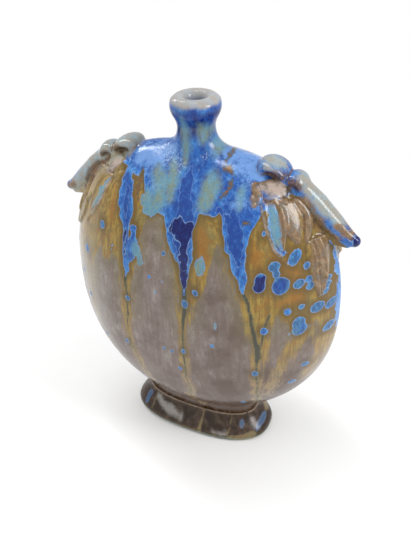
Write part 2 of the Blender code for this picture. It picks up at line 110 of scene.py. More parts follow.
# Settling of points on a surface, steps of slopes and crests, and guards against a division by zero
SETTLING_PASSES = 3
SETTLING_REACH_SHARE = 0.25
NUDGE_SHARE = 0.001
LEAST_SLOPE_SQUARED = 0.05
SLOPE_STEP = 0.0001
CREST_STEP = 0.0006
CREST_LIMIT = 3
FAR = 1.0
TINY = 1e-6
NEARLY_NOTHING = 1e-12

# A piece's feathered edge dips by the first length under the skin, and its root ends at the second
FEATHER = 0.00005
ROOT_DEPTH = 0.0025

# Insect sprigs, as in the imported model: (across, up) pairs as shares of half width and rise
HEAD_PLACE_SHARE = 0.516
COLLAR_ROUTE_SHARES = ((0.512, 0.880), (0.546, 0.850), (0.578, 0.812))
FOREWING_ROUTE_SHARES = ((0.546, 0.796), (0.612, 0.720), (0.672, 0.578))
MIDWING_ROUTE_SHARES = ((0.636, 0.786), (0.697, 0.702), (0.743, 0.598))
HINDWING_ROUTE_SHARES = ((0.812, 0.590), (0.886, 0.440), (0.904, 0.262))
LEFT_HINDWING_ROUTE_SHARES = ((0.775, 0.600), (0.815, 0.520), (0.838, 0.420))
HIND_LOBE_ROUTE_SHARES = ((0.840, 0.590), (0.885, 0.480), (0.905, 0.370))
LEG_ROUTE_SHARES = ((0.684, 0.776), (0.792, 0.688), (0.782, 0.608))
ROUTE_STATIONS = 9

# Outlines of pads, and their heights across as (place, height) pairs, as shares of width and thickness
WING_WIDTH_SHARES = (0.62, 0.90, 1.02, 1.02, 0.95, 0.84, 0.68, 0.46, 0.16)
PLATE_WIDTH_SHARES = (0.90, 0.98, 1.00, 1.00, 1.00, 0.98, 0.94, 0.88, 0.80)
LEAF_RIB_SHARES = ((-1.0, 0.55), (-0.82, 1.10), (-0.55, 0.55), (0.0, 0.50), (0.35, 0.45), (0.80, 0.75),
                   (1.0, 0.50))
MEMBRANE_RIB_SHARES = ((-1.0, 0.40), (-0.6, 0.85), (0.0, 1.00), (0.6, 0.90), (1.0, 0.45))
TWIN_RIB_SHARES = ((-1.0, 0.35), (-0.55, 1.00), (-0.12, 0.55), (0.08, 0.12), (0.35, 0.85), (0.70, 1.10),
                   (1.0, 0.45))
PLATE_RIB_SHARES = ((-1.0, 0.95), (-0.78, 1.10), (-0.45, 0.75), (0.4, 0.70), (0.80, 0.90), (1.0, 0.60))

# Pads of the plate and the wings, as (width, thickness, outline, ribs)
PLATE_SHAPE = (0.0112, 0.0021, PLATE_WIDTH_SHARES, PLATE_RIB_SHARES)
FOREWING_SHAPE = (0.0094, 0.0019, WING_WIDTH_SHARES, LEAF_RIB_SHARES)
MIDWING_SHAPE = (0.0102, 0.0018, WING_WIDTH_SHARES, MEMBRANE_RIB_SHARES)
HINDWING_SHAPE = (0.0110, 0.0030, WING_WIDTH_SHARES, TWIN_RIB_SHARES)
HIND_LOBE_SHAPE = (0.0080, 0.0024, WING_WIDTH_SHARES, MEMBRANE_RIB_SHARES)
PAD_SOFTNESS = 0.0008

# Rods and knobs on the face, as (across share, up share, radius), and the leg's radii along its route
PLATE_EDGE = ((0.515, 0.822, 0.0011), (0.560, 0.808, 0.0013), (0.622, 0.792, 0.0011))
KNOBS = ((0.437, 0.868, 0.0019), (0.458, 0.852, 0.0018), (0.474, 0.834, 0.0020), (0.456, 0.818, 0.0016),
         (0.488, 0.812, 0.0015), (0.466, 0.796, 0.0012))
WING_MARGIN = ((0.520, 0.790, 0.0008), (0.566, 0.700, 0.0009), (0.628, 0.595, 0.0009),
               (0.680, 0.540, 0.0007), (0.712, 0.500, 0.0004))
LEG_RADII = (0.0016, 0.0020, 0.0021, 0.0021, 0.0019, 0.0017, 0.0012)

# Head and thorax: radii and the hollows' places, each along the rim, across it and out of it
HEAD_RADII = (0.0082, 0.0094, 0.0052)
BROW_PLACE = (0.0008, 0.0106, -0.0010)
BROW_RADII = (0.0062, 0.0062, 0.0036)
THORAX_GAP = 0.0104
THORAX_LIFT = 0.0012
THORAX_RADII = (0.0058, 0.0076, 0.0057)
DIMPLE_PLACE = (0, 0.0074, -0.0008)
DIMPLE_RADII = (0.0034, 0.0030, 0.0028)

# Rods of the abdomen, as (share of its length, lift, distance aside, radius)
TAIL_GAP = 0.0026
TAIL_CORE = ((0.0, -0.0010, 0, 0.0056), (0.30, -0.0010, 0, 0.0063), (0.65, -0.0006, 0, 0.0053),
             (0.90, 0.0004, 0, 0.0036), (0.99, 0.0016, 0, 0.0026))
TAIL_KEEL = ((0.05, -0.0048, 0.0050, 0.0016), (0.45, -0.0072, 0.0054, 0.0020),
             (0.80, -0.0048, 0.0032, 0.0016), (0.98, -0.0022, 0.0010, 0.0010))
TAIL_GROOVE = ((0.10, -0.0024, 0.0072, 0.0007), (0.45, -0.0042, 0.0080, 0.0011),
               (0.80, -0.0026, 0.0058, 0.0007))

# How softly the sprigs' forms run into each other and into the body
HOLLOW_BLEND = 0.0016
KEEL_BLEND = 0.0022
GROOVE_BLEND = 0.0014
FINE_BLEND = 0.0010
TAIL_BLEND = 0.0012
WING_MARGIN_BLEND = 0.0008
MIDWING_BLEND = 0.0014
HINDWING_BLEND = 0.0012
HIND_LOBE_BLEND = 0.0016
LEG_BLEND = 0.0012
INSECT_BLEND = 0.0016
INSECT_REACH = 0.0028

# The nodes that each insect stands for, after the name of its side
LUMP_NODES = ("head", "thorax", "abdomen")
FACE_NODES = ("collar", "foreleg", "forewing", "midwing", "hindwing", "leg")


def smooth_min(first, second, blend):
    """The lower of two fields, rounded over where they are closer than the blend."""
    share = np.clip(0.5 + 0.5 * (second - first) / blend, 0, 1)
    return second + (first - second) * share - blend * share * (1 - share)


def smooth_max(first, second, blend):
    """The higher of two fields, rounded over where they are closer than the blend."""
    return -smooth_min(-first, -second, blend)


def ramp(value, low, high):
    """A smooth step from 0 at low to 1 at high."""
    share = np.clip((value - low) / (high - low), 0, 1)
    return share * share * (3 - 2 * share)


def body_field(x, y, z, growth=0.0):
    """About the distance out of the flask's skin, which growth moves outwards."""
    up = z - CENTRE
    exponent = np.where(up >= 0, UPPER_EXPONENT, LOWER_EXPONENT)
    height = np.where(up >= 0, RISE, DROP) + growth
    across = np.abs(x) / (HALF_WIDTH + growth)
    rise = np.abs(up) / height
    depth = np.abs(y) / (HALF_DEPTH + growth)
    share = np.maximum((across ** exponent + rise ** exponent) ** (1 / exponent), TINY)
    value = share ** FACE_FULLNESS + depth ** FACE_ROUNDNESS - 1
    spread = FACE_FULLNESS * share ** (FACE_FULLNESS - exponent)
    slope_x = spread * across ** (exponent - 1) / (HALF_WIDTH + growth)
    slope_y = FACE_ROUNDNESS * depth ** (FACE_ROUNDNESS - 1) / (HALF_DEPTH + growth)
    slope_z = spread * rise ** (exponent - 1) / height
    steepness = np.sqrt(slope_x ** 2 + slope_y ** 2 + slope_z ** 2)
    return value / np.maximum(steepness, 1 / HALF_WIDTH)


def slope(field, points, step=SLOPE_STEP):
    """A field's gradient at points, from its values a step to each side."""
    result = np.empty_like(points)
    for axis in range(3):
        ahead, behind = points.copy(), points.copy()
        ahead[:, axis] += step
        behind[:, axis] -= step
        result[:, axis] = (field(*ahead.T) - field(*behind.T)) / (2 * step)
    return result


def settle(field, points, reach):
    """Points moved on to a field's zero level, by no more than reach in each pass."""
    for _ in range(SETTLING_PASSES):
        gradient = slope(field, points)
        square = np.maximum((gradient ** 2).sum(1), LEAST_SLOPE_SQUARED)
        move = gradient * (field(*points.T) / square)[:, None]
        length = np.maximum(np.linalg.norm(move, axis=1), NEARLY_NOTHING)
        points = points - move * np.minimum(1, reach / length)[:, None]
    return points


def skin_point(across_share, up_share):
    """A point of the upper back face at shares of half width and rise, and the normal there."""
    share = (across_share ** UPPER_EXPONENT + up_share ** UPPER_EXPONENT) ** (1 / UPPER_EXPONENT)
    y = HALF_DEPTH * max(0.0, 1 - share ** FACE_FULLNESS) ** (1 / FACE_ROUNDNESS)
    start = np.array([[HALF_WIDTH * across_share, y, CENTRE + RISE * up_share]])
    point = settle(body_field, start, HALF_DEPTH)
    normal = slope(body_field, point)[0]
    return point[0], normal / np.linalg.norm(normal)


def rim_axes(across):
    """The right rim's point at a distance across, with the directions along the rim and out of it."""
    share = across / HALF_WIDTH
    height = CENTRE + RISE * (1 - share ** UPPER_EXPONENT) ** (1 / UPPER_EXPONENT)
    fall = share ** (UPPER_EXPONENT - 1) * (1 - share ** UPPER_EXPONENT) ** (1 / UPPER_EXPONENT - 1)
    along = np.array((1, 0, -fall * RISE / HALF_WIDTH))
    along /= np.linalg.norm(along)
    return np.array((across, 0, height)), along, np.array((-along[2], 0, along[0]))


def dot(gaps, axis):
    """How far points lie along an axis, from their gaps in x, y and z."""
    return gaps[0] * axis[0] + gaps[1] * axis[1] + gaps[2] * axis[2]


def distance_aside(gaps, axis, place):
    """The distance from points to the place along an axis that is nearest to each."""
    return np.sqrt(sum((gap - part * place) ** 2 for gap, part in zip(gaps, axis)))


def egg(x, y, z, axes, radii):
    """About the distance to an egg whose radii lie along the rim, across it and out of it."""
    centre, along, outward = axes
    gaps = (x - centre[0], y - centre[1], z - centre[2])
    parts = (dot(gaps, along) / radii[0], gaps[1] / radii[1], dot(gaps, outward) / radii[2])
    size = np.sqrt(sum(part ** 2 for part in parts))
    rate = np.sqrt(sum((part / radius) ** 2 for part, radius in zip(parts, radii)))
    return size * (size - 1) / np.maximum(rate, TINY)


def hollowed_egg(x, y, z, axes, radii, hollow_place, hollow_radii):
    """An egg with a hollow at a place along the rim, across it and out of it."""
    centre, along, outward = axes
    middle = centre + along * hollow_place[0] + np.array((0, hollow_place[1], 0)) + outward * hollow_place[2]
    hollow = egg(x, y, z, (middle, along, outward), hollow_radii)
    return smooth_max(egg(x, y, z, axes, radii), -hollow, HOLLOW_BLEND)


def rod(x, y, z, points, radii):
    """The distance to a chain of straight rods that taper from point to point."""
    nearest = np.full(x.shape, FAR)
    for start, end, first, last in zip(points, points[1:], radii, radii[1:]):
        axis = end - start
        gaps = (x - start[0], y - start[1], z - start[2])
        place = np.clip(dot(gaps, axis) / max(axis @ axis, NEARLY_NOTHING), 0, 1)
        away = distance_aside(gaps, axis, place)
        nearest = np.minimum(nearest, away - first - (last - first) * place)
    return nearest


def face_rod(x, y, z, stations):
    """A rod on the right back face over (across share, up share, radius) stations."""
    points = [skin_point(across, up)[0] for across, up, _ in stations]
    return rod(x, y, z, points, [radius for *_, radius in stations])


def route_places(route, count):
    """Points of the right back face and their normals, on the curve through a route's three share pairs."""
    first, bend, last = np.array(route)
    pairs = [first * (1 - t) ** 2 + 2 * bend * t * (1 - t) + last * t ** 2 for t in np.linspace(0, 1, count)]
    points, normals = zip(*(skin_point(*pair) for pair in pairs))
    return points, normals


def route_shares(x, y, z, route):
    """How far along a route each point lies, from 0 to 1, and how far to its side, with the ends' overrun."""
    spine, normals = route_places(route, ROUTE_STATIONS)
    nearest = np.full(x.shape, FAR)
    along, aside, overrun = np.zeros(x.shape), np.zeros(x.shape), np.zeros(x.shape)
    for step in range(ROUTE_STATIONS - 1):
        start, axis = spine[step], spine[step + 1] - spine[step]
        length = np.linalg.norm(axis)
        side = np.cross(normals[step] + normals[step + 1], axis)
        side /= np.linalg.norm(side)
        gaps = (x - start[0], y - start[1], z - start[2])
        raw = dot(gaps, axis) / length ** 2
        place = np.clip(raw, 0, 1)
        away = distance_aside(gaps, axis, place)
        closer = away < nearest
        nearest = np.where(closer, away, nearest)
        along = np.where(closer, (step + place) / (ROUTE_STATIONS - 1), along)
        aside = np.where(closer, dot(gaps, side), aside)
        overrun = np.where(closer, np.abs(raw - place) * length, overrun)
    return along, aside, overrun


def pad(x, y, z, skin, route, width, thickness, outline, ribs):
    """A pad laid on the skin along a route: outline gives its width along it, and ribs its height across."""
    along, aside, overrun = route_shares(x, y, z, route)
    half = width / 2 * np.interp(along, np.linspace(0, 1, len(outline)), outline)
    height = thickness * np.interp(aside / half, *zip(*ribs))
    border = np.maximum(np.abs(aside) - half, overrun)
    return smooth_max(skin - height, border, PAD_SOFTNESS)


class Insect:
    """One insect's form on the right shoulder, seen from the back face and mirrored to the others."""

    def __init__(self, sizes, hindwing_route):
        self.hindwing_route = hindwing_route
        self.head = rim_axes(HALF_WIDTH * HEAD_PLACE_SHARE)
        place, along, outward = rim_axes(self.head[0][0] + THORAX_GAP * self.head[1][0])
        self.thorax = (place + outward * THORAX_LIFT, along, outward)
        tilt = sizes.abdomen_tilt
        self.tail_length = sizes.abdomen_length
        self.tail_start = self.thorax[0] + along * TAIL_GAP
        self.tail_along = np.array((math.cos(tilt), 0, -math.sin(tilt)))
        self.tail_outward = np.array((math.sin(tilt), 0, math.cos(tilt)))

    def tail_rod(self, x, y, z, stations):
        """A rod along the abdomen over its stations."""
        points = [self.tail_start + self.tail_along * self.tail_length * share + self.tail_outward * lift
                  + np.array((0, aside, 0)) for share, lift, aside, _ in stations]
        return rod(x, y, z, points, [radius for *_, radius in stations])

    def lumps(self, x, y, z):
        """Head, thorax and abdomen, which straddle the rim."""
        head = hollowed_egg(x, y, z, self.head, HEAD_RADII, BROW_PLACE, BROW_RADII)
        thorax = hollowed_egg(x, y, z, self.thorax, THORAX_RADII, DIMPLE_PLACE, DIMPLE_RADII)
        core, keel, groove = (self.tail_rod(x, y, z, rows) for rows in (TAIL_CORE, TAIL_KEEL, TAIL_GROOVE))
        tail = smooth_max(smooth_min(core, keel, KEEL_BLEND), -groove, GROOVE_BLEND)
        return smooth_min(smooth_min(head, thorax, FINE_BLEND), tail, TAIL_BLEND)

    def sprigs(self, x, y, z, skin):
        """Plate, legs and wings, which lie on the face, each blended into those laid before it."""
        def laid_pad(route, shape):
            return pad(x, y, z, skin, route, *shape)

        form = laid_pad(COLLAR_ROUTE_SHARES, PLATE_SHAPE)
        layers = [(face_rod(x, y, z, rows), FINE_BLEND) for rows in (PLATE_EDGE, *zip(KNOBS, KNOBS))]
        layers.append((laid_pad(FOREWING_ROUTE_SHARES, FOREWING_SHAPE), FINE_BLEND))
        layers.append((face_rod(x, y, z, WING_MARGIN), WING_MARGIN_BLEND))
        layers.append((laid_pad(MIDWING_ROUTE_SHARES, MIDWING_SHAPE), MIDWING_BLEND))
        layers.append((laid_pad(self.hindwing_route, HINDWING_SHAPE), HINDWING_BLEND))
        layers.append((laid_pad(HIND_LOBE_ROUTE_SHARES, HIND_LOBE_SHAPE), HIND_LOBE_BLEND))
        leg, _ = route_places(LEG_ROUTE_SHARES, len(LEG_RADII))
        layers.append((rod(x, y, z, leg, LEG_RADII), LEG_BLEND))
        for layer, blend in layers:
            form = smooth_min(form, layer, blend)
        return form

    def field(self, x, y, z, skin):
        """The insect alone, on the skin whose field is given."""
        return smooth_min(self.lumps(x, y, z), self.sprigs(x, y, z, skin), FINE_BLEND)


def neck_field(sizes, x, y, z):
    """The thrown neck and its rolled lip, not yet joined to the body."""
    reach = np.hypot(x - NECK_X, y)
    lip_centre = LIP_TOP - sizes.lip_height / 2
    roll_radius = (sizes.lip_radius - sizes.mouth_radius) / 2
    roll_middle = (sizes.lip_radius + sizes.mouth_radius) / 2
    away = np.hypot((reach - roll_middle) / roll_radius, (z - lip_centre) / (sizes.lip_height / 2))
    roll = (away - 1) * roll_radius
    column = np.maximum(reach - sizes.waist_radius, z - lip_centre)
    return smooth_min(column, roll, sizes.lip_blend)


def foot_outline(x, y, length, width):
    """About the distance out of the foot's oval of a given half length and half width."""
    across, along = np.abs(x - FOOT_X) / length, np.abs(y) / width
    share = np.maximum((across ** FOOT_EXPONENT + along ** FOOT_EXPONENT) ** (1 / FOOT_EXPONENT), TINY)
    rate = share ** (1 - FOOT_EXPONENT) * np.hypot(across ** (FOOT_EXPONENT - 1) / length,
                                                    along ** (FOOT_EXPONENT - 1) / width)
    return (share - 1) / np.maximum(rate, 1 / length)


def foot_field(sizes, x, y, z):
    """The oval foot: flared, hollow underneath, with a fine bead where it meets the body."""
    swing = 1 - ramp(z, sizes.toe_height, sizes.foot_waist_height)
    length = sizes.foot_waist_length + (FOOT_HALF_LENGTH - sizes.foot_waist_length) * swing
    width = sizes.foot_waist_width + (FOOT_HALF_WIDTH - sizes.foot_waist_width) * swing
    form = smooth_max(foot_outline(x, y, length, width), -z, SOLE_ROUNDING)
    band = foot_outline(x, y, sizes.foot_waist_length + BEAD_OUTSET, sizes.foot_waist_width + BEAD_OUTSET)
    bead = np.hypot(band, z - sizes.foot_waist_height - BEAD_LIFT) - BEAD_RADIUS
    form = smooth_min(form, bead, BEAD_BLEND)
    toe = foot_outline(x, y, FOOT_HALF_LENGTH, FOOT_HALF_WIDTH)
    toe_line = np.hypot(toe, z - TOE_LINE_HEIGHT) - TOE_LINE_RADIUS
    form = smooth_max(form, -toe_line, TOE_LINE_BLEND)
    recess = foot_outline(x, y, length - sizes.foot_rim, width - sizes.foot_rim)
    return smooth_max(form, -recess, RECESS_ROUNDING)


def surface_net(values, origin, cell):
    """The zero level of a grid of values: one point in each crossed cell, a quad round each crossed edge."""
    cells = np.array(values.shape) - 1
    sums = np.zeros((3, cells.prod()))
    counts = np.zeros(cells.prod())
    quads = []
    for axis in range(3):
        low, high = [slice(None)] * 3, [slice(None)] * 3
        low[axis], high[axis] = slice(None, -1), slice(1, None)
        before, after = values[tuple(low)], values[tuple(high)]
        crossed = np.argwhere((before < 0) != (after < 0))
        first, last = before[tuple(crossed.T)], after[tuple(crossed.T)]
        points = crossed.astype(float)
        points[:, axis] += first / (first - last)
        one, two = [other for other in range(3) if other != axis]
        whole = np.ones(len(crossed), bool)
        corners = []
        for step_one, step_two in ((0, 0), (1, 0), (1, 1), (0, 1)):
            index = crossed.copy()
            index[:, one] -= step_one
            index[:, two] -= step_two
            valid = ((index >= 0) & (index < cells)).all(1)
            whole &= valid
            flat = np.ravel_multi_index(np.clip(index, 0, cells - 1).T, tuple(cells))
            for part in range(3):
                sums[part] += np.bincount(flat[valid], points[valid, part], len(counts))
            counts += np.bincount(flat[valid], minlength=len(counts))
            corners.append(flat)
        faces = np.stack(corners, 1)[whole]
        turned = (first[whole] >= 0) != (axis == 1)
        faces[turned] = faces[turned][:, ::-1]
        quads.append(faces)
    used = np.flatnonzero(counts)
    number = np.full(len(counts), -1)
    number[used] = np.arange(len(used))
    return origin + cell * (sums[:, used] / counts[used]).T, number[np.concatenate(quads)]


def net_piece(field, low, high, cell):
    """Points and quads of a field's surface in a box that starts at y = 0, mirrored to the front."""
    cell *= 1
    sides = [np.arange(start, end + cell, cell) for start, end in zip(low, high)]
    grid = np.meshgrid(*sides, indexing="ij")
    values = field(*(part.ravel() for part in grid)).reshape(grid[0].shape)
    values = np.concatenate((values[:, :0:-1], values), 1)
    values[values == 0] = cell * NUDGE_SHARE
    points, quads = surface_net(values, np.array((sides[0][0], -sides[1][-1], sides[2][0])), cell)
    return settle(field, points, cell * SETTLING_REACH_SHARE), quads


# Runs of the poured glaze, as (across, up, half width) along each one, in millimetres on the front
RUNS = (
    ((-28, 163, 2.6), (-27, 159, 4.0), (-25.8, 155, 4.4), (-24.5, 150, 3.9), (-24, 146, 1.6), (-24, 136, 1.7),
     (-23, 130, 2.0), (-23, 124, 1.3), (-24, 119, 0.2)),
    ((-19, 146, 1.9), (-19, 143.5, 1.3), (-19.5, 139, 3.0), (-20.5, 133, 3.0), (-22, 129, 1.8)),
    ((-2, 176, 3), (3, 171, 6), (5.6, 165, 6.5), (6, 160, 6.5), (5, 156, 7.5), (4.5, 152, 7), (5, 147, 6),
     (6.5, 143, 5.6), (8, 138, 4.6), (8.3, 132, 2.4), (8.3, 124, 1.4), (8, 117, 0.6)),
    ((26.5, 163, 3), (28.4, 158, 5), (29.5, 152, 5.4), (31, 146, 4.6), (32.5, 141, 3.2), (33, 136, 3.0),
     (35, 131, 2.2), (35.4, 127, 1.4), (36.3, 122, 0.4)),
    ((42, 160, 1.6), (45, 154, 2.4), (48, 147, 1.6), (50, 142, 0.6)),
    ((66.4, 141, 0.5), (69.4, 132, 0.8), (72.1, 120, 0.9), (73.5, 108, 1.2), (73.7, 98, 0.9),
     (73.5, 90, 0.1)),
)

# Fine dark trails below the runs, and pale ochre streaks that part the mauve panels
TRAILS = (
    ((-23, 130, 0.7), (-24, 117, 0.9), (-24, 107, 0.7), (-25, 97, 0.6), (-26.5, 85, 0.5), (-26, 78, 0.5),
     (-24, 70, 0.4), (-23, 61, 0.4), (-19, 47, 0.3), (-14, 34, 0.2)),
    ((8.3, 128, 1.6), (8, 117, 1.3), (8, 111, 1.2), (7, 102, 0.9), (6.3, 90, 0.6), (6.3, 82, 0.7),
     (6.3, 68, 0.5), (6.4, 52, 0.4), (4.5, 45, 0.4), (3.5, 20, 0.3)),
    ((35.4, 127, 0.7), (36.3, 123, 0.9), (38.3, 118.6, 0.9), (40, 111, 0.9), (41.4, 103, 1.0),
     (43, 95, 1.1), (43, 85, 0.8), (42.7, 76, 0.6), (43, 65, 0.5), (41.5, 51, 0.5), (38, 38, 0.2)),
    ((48, 113, 0.5), (46, 105, 0.6), (45, 95, 0.6), (44.3, 87, 0.6)),
)
STREAKS = (
    ((62, 98, 1.6), (57, 90, 1.0), (53, 78, 0.6), (50, 66, 0.6), (46, 52, 0.4)),
    ((-50, 118, 2.0), (-52, 100, 0.8), (-50, 80, 0.2)),
    ((72, 92, 3.0), (70, 80, 1.6), (62, 62, 0.6)),
)

# Upper edge of the mauve panels, as (across, up)
PANEL_EDGE = ((-90, 96), (-66, 106), (-55, 114), (-46, 120), (-40, 132), (-37, 124), (-31, 130), (-28, 127),
              (-25, 112), (-21, 114), (-19.6, 120), (-16, 140), (-13.5, 150), (-10, 153), (-5.7, 154),
              (-3, 152), (0, 143), (4.2, 127), (7, 114), (11, 112), (15.3, 117), (18.7, 126), (20.5, 138),
              (23, 147), (28.5, 140), (33.8, 129), (35.5, 120), (40, 105), (44, 99), (47.8, 106), (50.4, 112),
              (54.5, 108), (58, 98), (63, 101), (66, 105), (70, 92), (90, 70))

# Lower edge of the poured glaze, as (across, up)
POUR_EDGE = ((-90, 132), (-72, 142), (-62, 152), (-50, 165), (-40, 171), (-32, 167), (-29, 165), (-23, 164),
             (-20.5, 167), (-16, 161), (-15, 156), (-11, 152.5), (-6.5, 154.5), (-3, 154.5), (-0.6, 151.7),
             (2.5, 150.6), (11.5, 154.5), (12.3, 157), (16, 156.5), (19, 155.7), (21.6, 158), (23.6, 155),
             (26, 150), (29, 146), (32, 144), (35, 145), (35.2, 150), (36.5, 153), (38.7, 158), (41, 163),
             (46, 162), (50, 162), (56, 158), (62, 150), (70, 141), (90, 126))

# Drops beside the runs, as (across, up, radius) in millimetres
DROPS = ((-39.5, 141.4, 1.8), (-52, 122.6, 1.8), (-58.3, 107, 1.4), (-53, 95, 1.4), (-2.2, 137.7, 1.2),
         (13.9, 120.3, 1.6), (42.5, 131.3, 2.5), (42.8, 127.6, 2.5), (47.7, 136.6, 2.2), (48.8, 132.8, 1.7),
         (51.1, 127.3, 3.5), (54.5, 139.1, 2.6), (59.7, 134.5, 1.4), (58, 127, 2.1), (61.4, 128, 1.6),
         (62.2, 124.4, 1.7), (68.2, 124, 1.2), (68.2, 121, 1.3), (68.5, 118, 1.1), (54.6, 113.4, 1.5),
         (60, 115.3, 1.3), (65.8, 112.1, 2.4), (70.5, 109.5, 2.2), (59.5, 106.2, 2.8), (60, 102.4, 2.9),
         (71, 96, 2.2), (46, 104, 1.8), (41.5, 150, 1.0), (-10, 122.8, 1.2), (-3.2, 122, 0.8),
         (-7, 114.6, 0.8), (21.8, 91.5, 1.2), (-5, 81, 1.1), (-0.5, 80.6, 1.0), (3, 69.5, 1.2),
         (-28.2, 74.8, 1.4), (42.2, 75.5, 1.7), (57.4, 62.7, 1.6), (-24, 107, 1.5), (8, 112.3, 1.9),
         (6.4, 82.4, 1.5), (-66, 118, 1.8), (-63, 90, 1.6), (-46, 70, 1.5), (33, 44, 1.3), (63, 76, 1.6))

# Deep pools where the poured glaze is thickest
POOLS = (
    ((1.5, 150, 2), (3.5, 151, 3.4), (6, 149, 4.0), (9, 151, 2.4)),
    ((8, 145, 2), (8, 138, 2.0), (8, 130, 1.5), (8.3, 122, 0.8), (8.2, 116, 0.2)),
    ((42.6, 131, 1.6), (43, 126, 1.6)),
    ((-24, 145, 0.3), (-24, 138, 0.7), (-23.5, 131, 0.4)),
    ((75, 144.5, 0.8), (78, 141.5, 2.4)),
)

# Grey-green and khaki patches floating on the blue, and the pale halos beside the runs
PATCHES = (
    ((-6, 172, 1.5), (-4, 167, 2.4), (-3, 161, 1.8)),
    ((-13, 168, 2), (-9, 165, 3), (-8, 159, 3.4)),
    ((-15, 158, 4), (-13, 154.5, 3), (-9, 156, 2.6)),
    ((13, 170, 1.8), (14.5, 166, 3.4), (14, 161, 3.2)),
    ((28, 165, 1.3), (29, 160, 0.6)),
    ((-2, 193, 0.4), (-2, 186, 1.4), (-1.5, 179, 1.6), (-1, 173, 0.8)),
    ((5.5, 190, 0.8), (6, 187, 2.0), (6, 183, 1.4)),
    ((10, 181, 1.0), (12, 178, 1.6)),
    ((-16, 136, 3.2), (-15, 130, 3.4)),
    ((15.8, 140, 1.8), (15.8, 134, 3.7), (15.8, 131, 2.6)),
    ((-32.4, 134, 1.4), (-32.4, 131, 1.2)),
    ((23.6, 106, 2.2), (23.6, 103, 2.2)),
    ((21, 87, 0.6), (21, 82, 0.8)),
    ((56, 101, 1.8), (56, 100.5, 1.8)),
    ((42.5, 159, 1.4), (45.5, 153, 2.1), (48, 147, 1.2)),
    ((-39, 160, 1.8), (-43.5, 153, 2.8), (-48, 146, 2.0)),
)

# Grey veils over the insects' backs, and the dark hollows under the hoods and in the thorax
VEILS = (
    ((-30, 177, 3), (-38, 172, 6), (-48, 167, 6), (-60, 157, 5), (-72, 143, 4)),
    ((34, 176, 3.4), (42, 174.5, 3.2)),
    ((50, 171, 2.0), (57, 164, 3.8), (64, 157, 4.0), (70, 150, 2.8)),
)
HOLLOWS = (
    ((34.5, 168.5, 1.4), (39.5, 169.5, 2.4), (43, 169.5, 1.4)),
    ((47.5, 167.5, 2.0), (50, 166.5, 2.0)),
    ((-35, 169, 1.2), (-39.5, 170.5, 2.2), (-44, 171.5, 1.4)),
    ((-47.5, 167, 1.6), (-50, 166, 1.6)),
    ((-53, 160, 1.8), (-58, 155, 2.2), (-62, 150, 1.4)),
)

# Hot orange-brown where the poured glaze broke, and the hotter parts of the ground
CRACKS = (
    ((19.5, 176.5, 0.1), (17.5, 175.6, 0.5), (17, 173.9, 0.4)),
    ((17.5, 171.3, 0.5), (19.6, 171.2, 0.9), (21.4, 170.4, 0.1)),
    ((23.4, 169.4, 0.2), (22.6, 166.5, 0.6), (21.2, 164.2, 1.0), (19.8, 163, 0.2)),
    ((32.8, 155, 0.6), (33.8, 155, 0.6)),
    ((-21.5, 168, 0.4), (-20.2, 164, 0.9), (-20.6, 161, 1.0), (-19, 158.4, 0.3)),
)
EMBERS = (
    ((13, 153, 2.0), (15, 147, 4.5), (17, 139, 4.2), (18, 134, 2.6)),
    ((-21, 161, 3.0), (-20, 153, 2.0)),
    ((-5, 148, 1.6), (-4, 143, 1.4)),
    ((37, 148, 2.4), (39, 141, 4.0), (42, 136, 3.0)),
    ((46, 143, 3.0), (50, 137, 3.0), (56, 132, 4.0), (58, 121, 4.0), (52, 118, 3.0)),
    ((24, 151, 1.0), (24, 141, 1.6)),
    ((-34, 158, 2.0), (-33, 146, 3.0)),
    ((6, 196, 2.0), (10, 197, 2.0)),
)

# Thin, light blue glaze at the top of the shoulders, and the thick deep blue down the middle of the runs
HAZES = (
    ((-25, 171, 4.5), (-16, 172, 5.5), (-8, 176, 4.5)),
    ((12, 178, 3), (20, 176, 4.5), (28, 172, 4.5), (34, 168, 3)),
    ((-14, 165, 1.5), (-10, 163, 1.5)),
    ((25, 161, 2.5), (36, 161, 2.0)),
    ((70, 134, 1.0), (73, 112, 1.6), (73, 92, 1.0)),
)
DEEPS = (
    ((3, 173, 0.4), (3, 168, 2.6), (5, 160, 3.6), (6, 151, 5.0), (7, 143, 3.8), (8, 132, 1.6)),
    ((27, 159, 0.8), (29, 152, 3.2), (31, 145, 2.8), (33, 138, 1.6)),
    # This chain lays deep blue in a band round the neck just under the lip
    ((-10, 190, 2.6), (-3, 190, 4.6), (3, 190, 5.8), (11, 189, 5.0)),
    ((19, 160, 0.6), (22, 158, 1.6), (25, 157, 1.2)),
    ((-26, 160, 1.0), (-25, 153, 1.6)),
    ((-25, 152, 1.2), (-24, 147, 1.0), (-24, 132, 0.6)),
    ((42.6, 131, 2.6), (43, 126, 2.4)),
    ((51, 131, 1.2), (51, 127, 2.2), (50, 124, 1.2)),
    ((74, 146, 1.0), (78, 142, 2.6)),
)

# Pale frosting of fine crystals below the neck, and in the second chain a painted highlight where the neck
# meets the right shoulder, drawn as frost
FROST_AND_HIGHLIGHT = (
    ((-18, 174, 2.0), (-10, 174, 2.8), (-2, 172, 2.2)),
    # Painted highlight where the neck meets the right shoulder
    ((9, 177.5, 1.4), (7, 176, 1.2)),
)

# Marks on the foot: drops of blue, streaks of cream and olive, and whitish painted highlights
FOOT_DROPS = (
    ((-34, 9, 1.4), (-35, 6, 1.0)),
    ((35.5, 8.5, 0.5), (36.4, 6.5, 0.8)),
    ((27, 10.5, 0.7), (27.5, 9.6, 0.7)),
)
# Painted highlights: whitish patches where the foot would reflect the lamps
FOOT_PAINTED_HIGHLIGHTS = (
    ((-27, 10, 2.0), (-17, 8, 2.4), (-9, 7, 1.4)),
    ((12, 6, 0.8), (19, 5, 1.6)),
)
FOOT_STREAKS = (
    ((4, 15, 0.5), (4, 8, 1.0), (3.5, 3, 1.4)),
    ((22, 4, 1.4), (28, 3.5, 2.6), (34, 4, 2.2)),
    ((21, 12, 0.4), (21, 3, 0.4)),
    ((-28, 12, 0.4), (-30, 4, 0.5)),
)

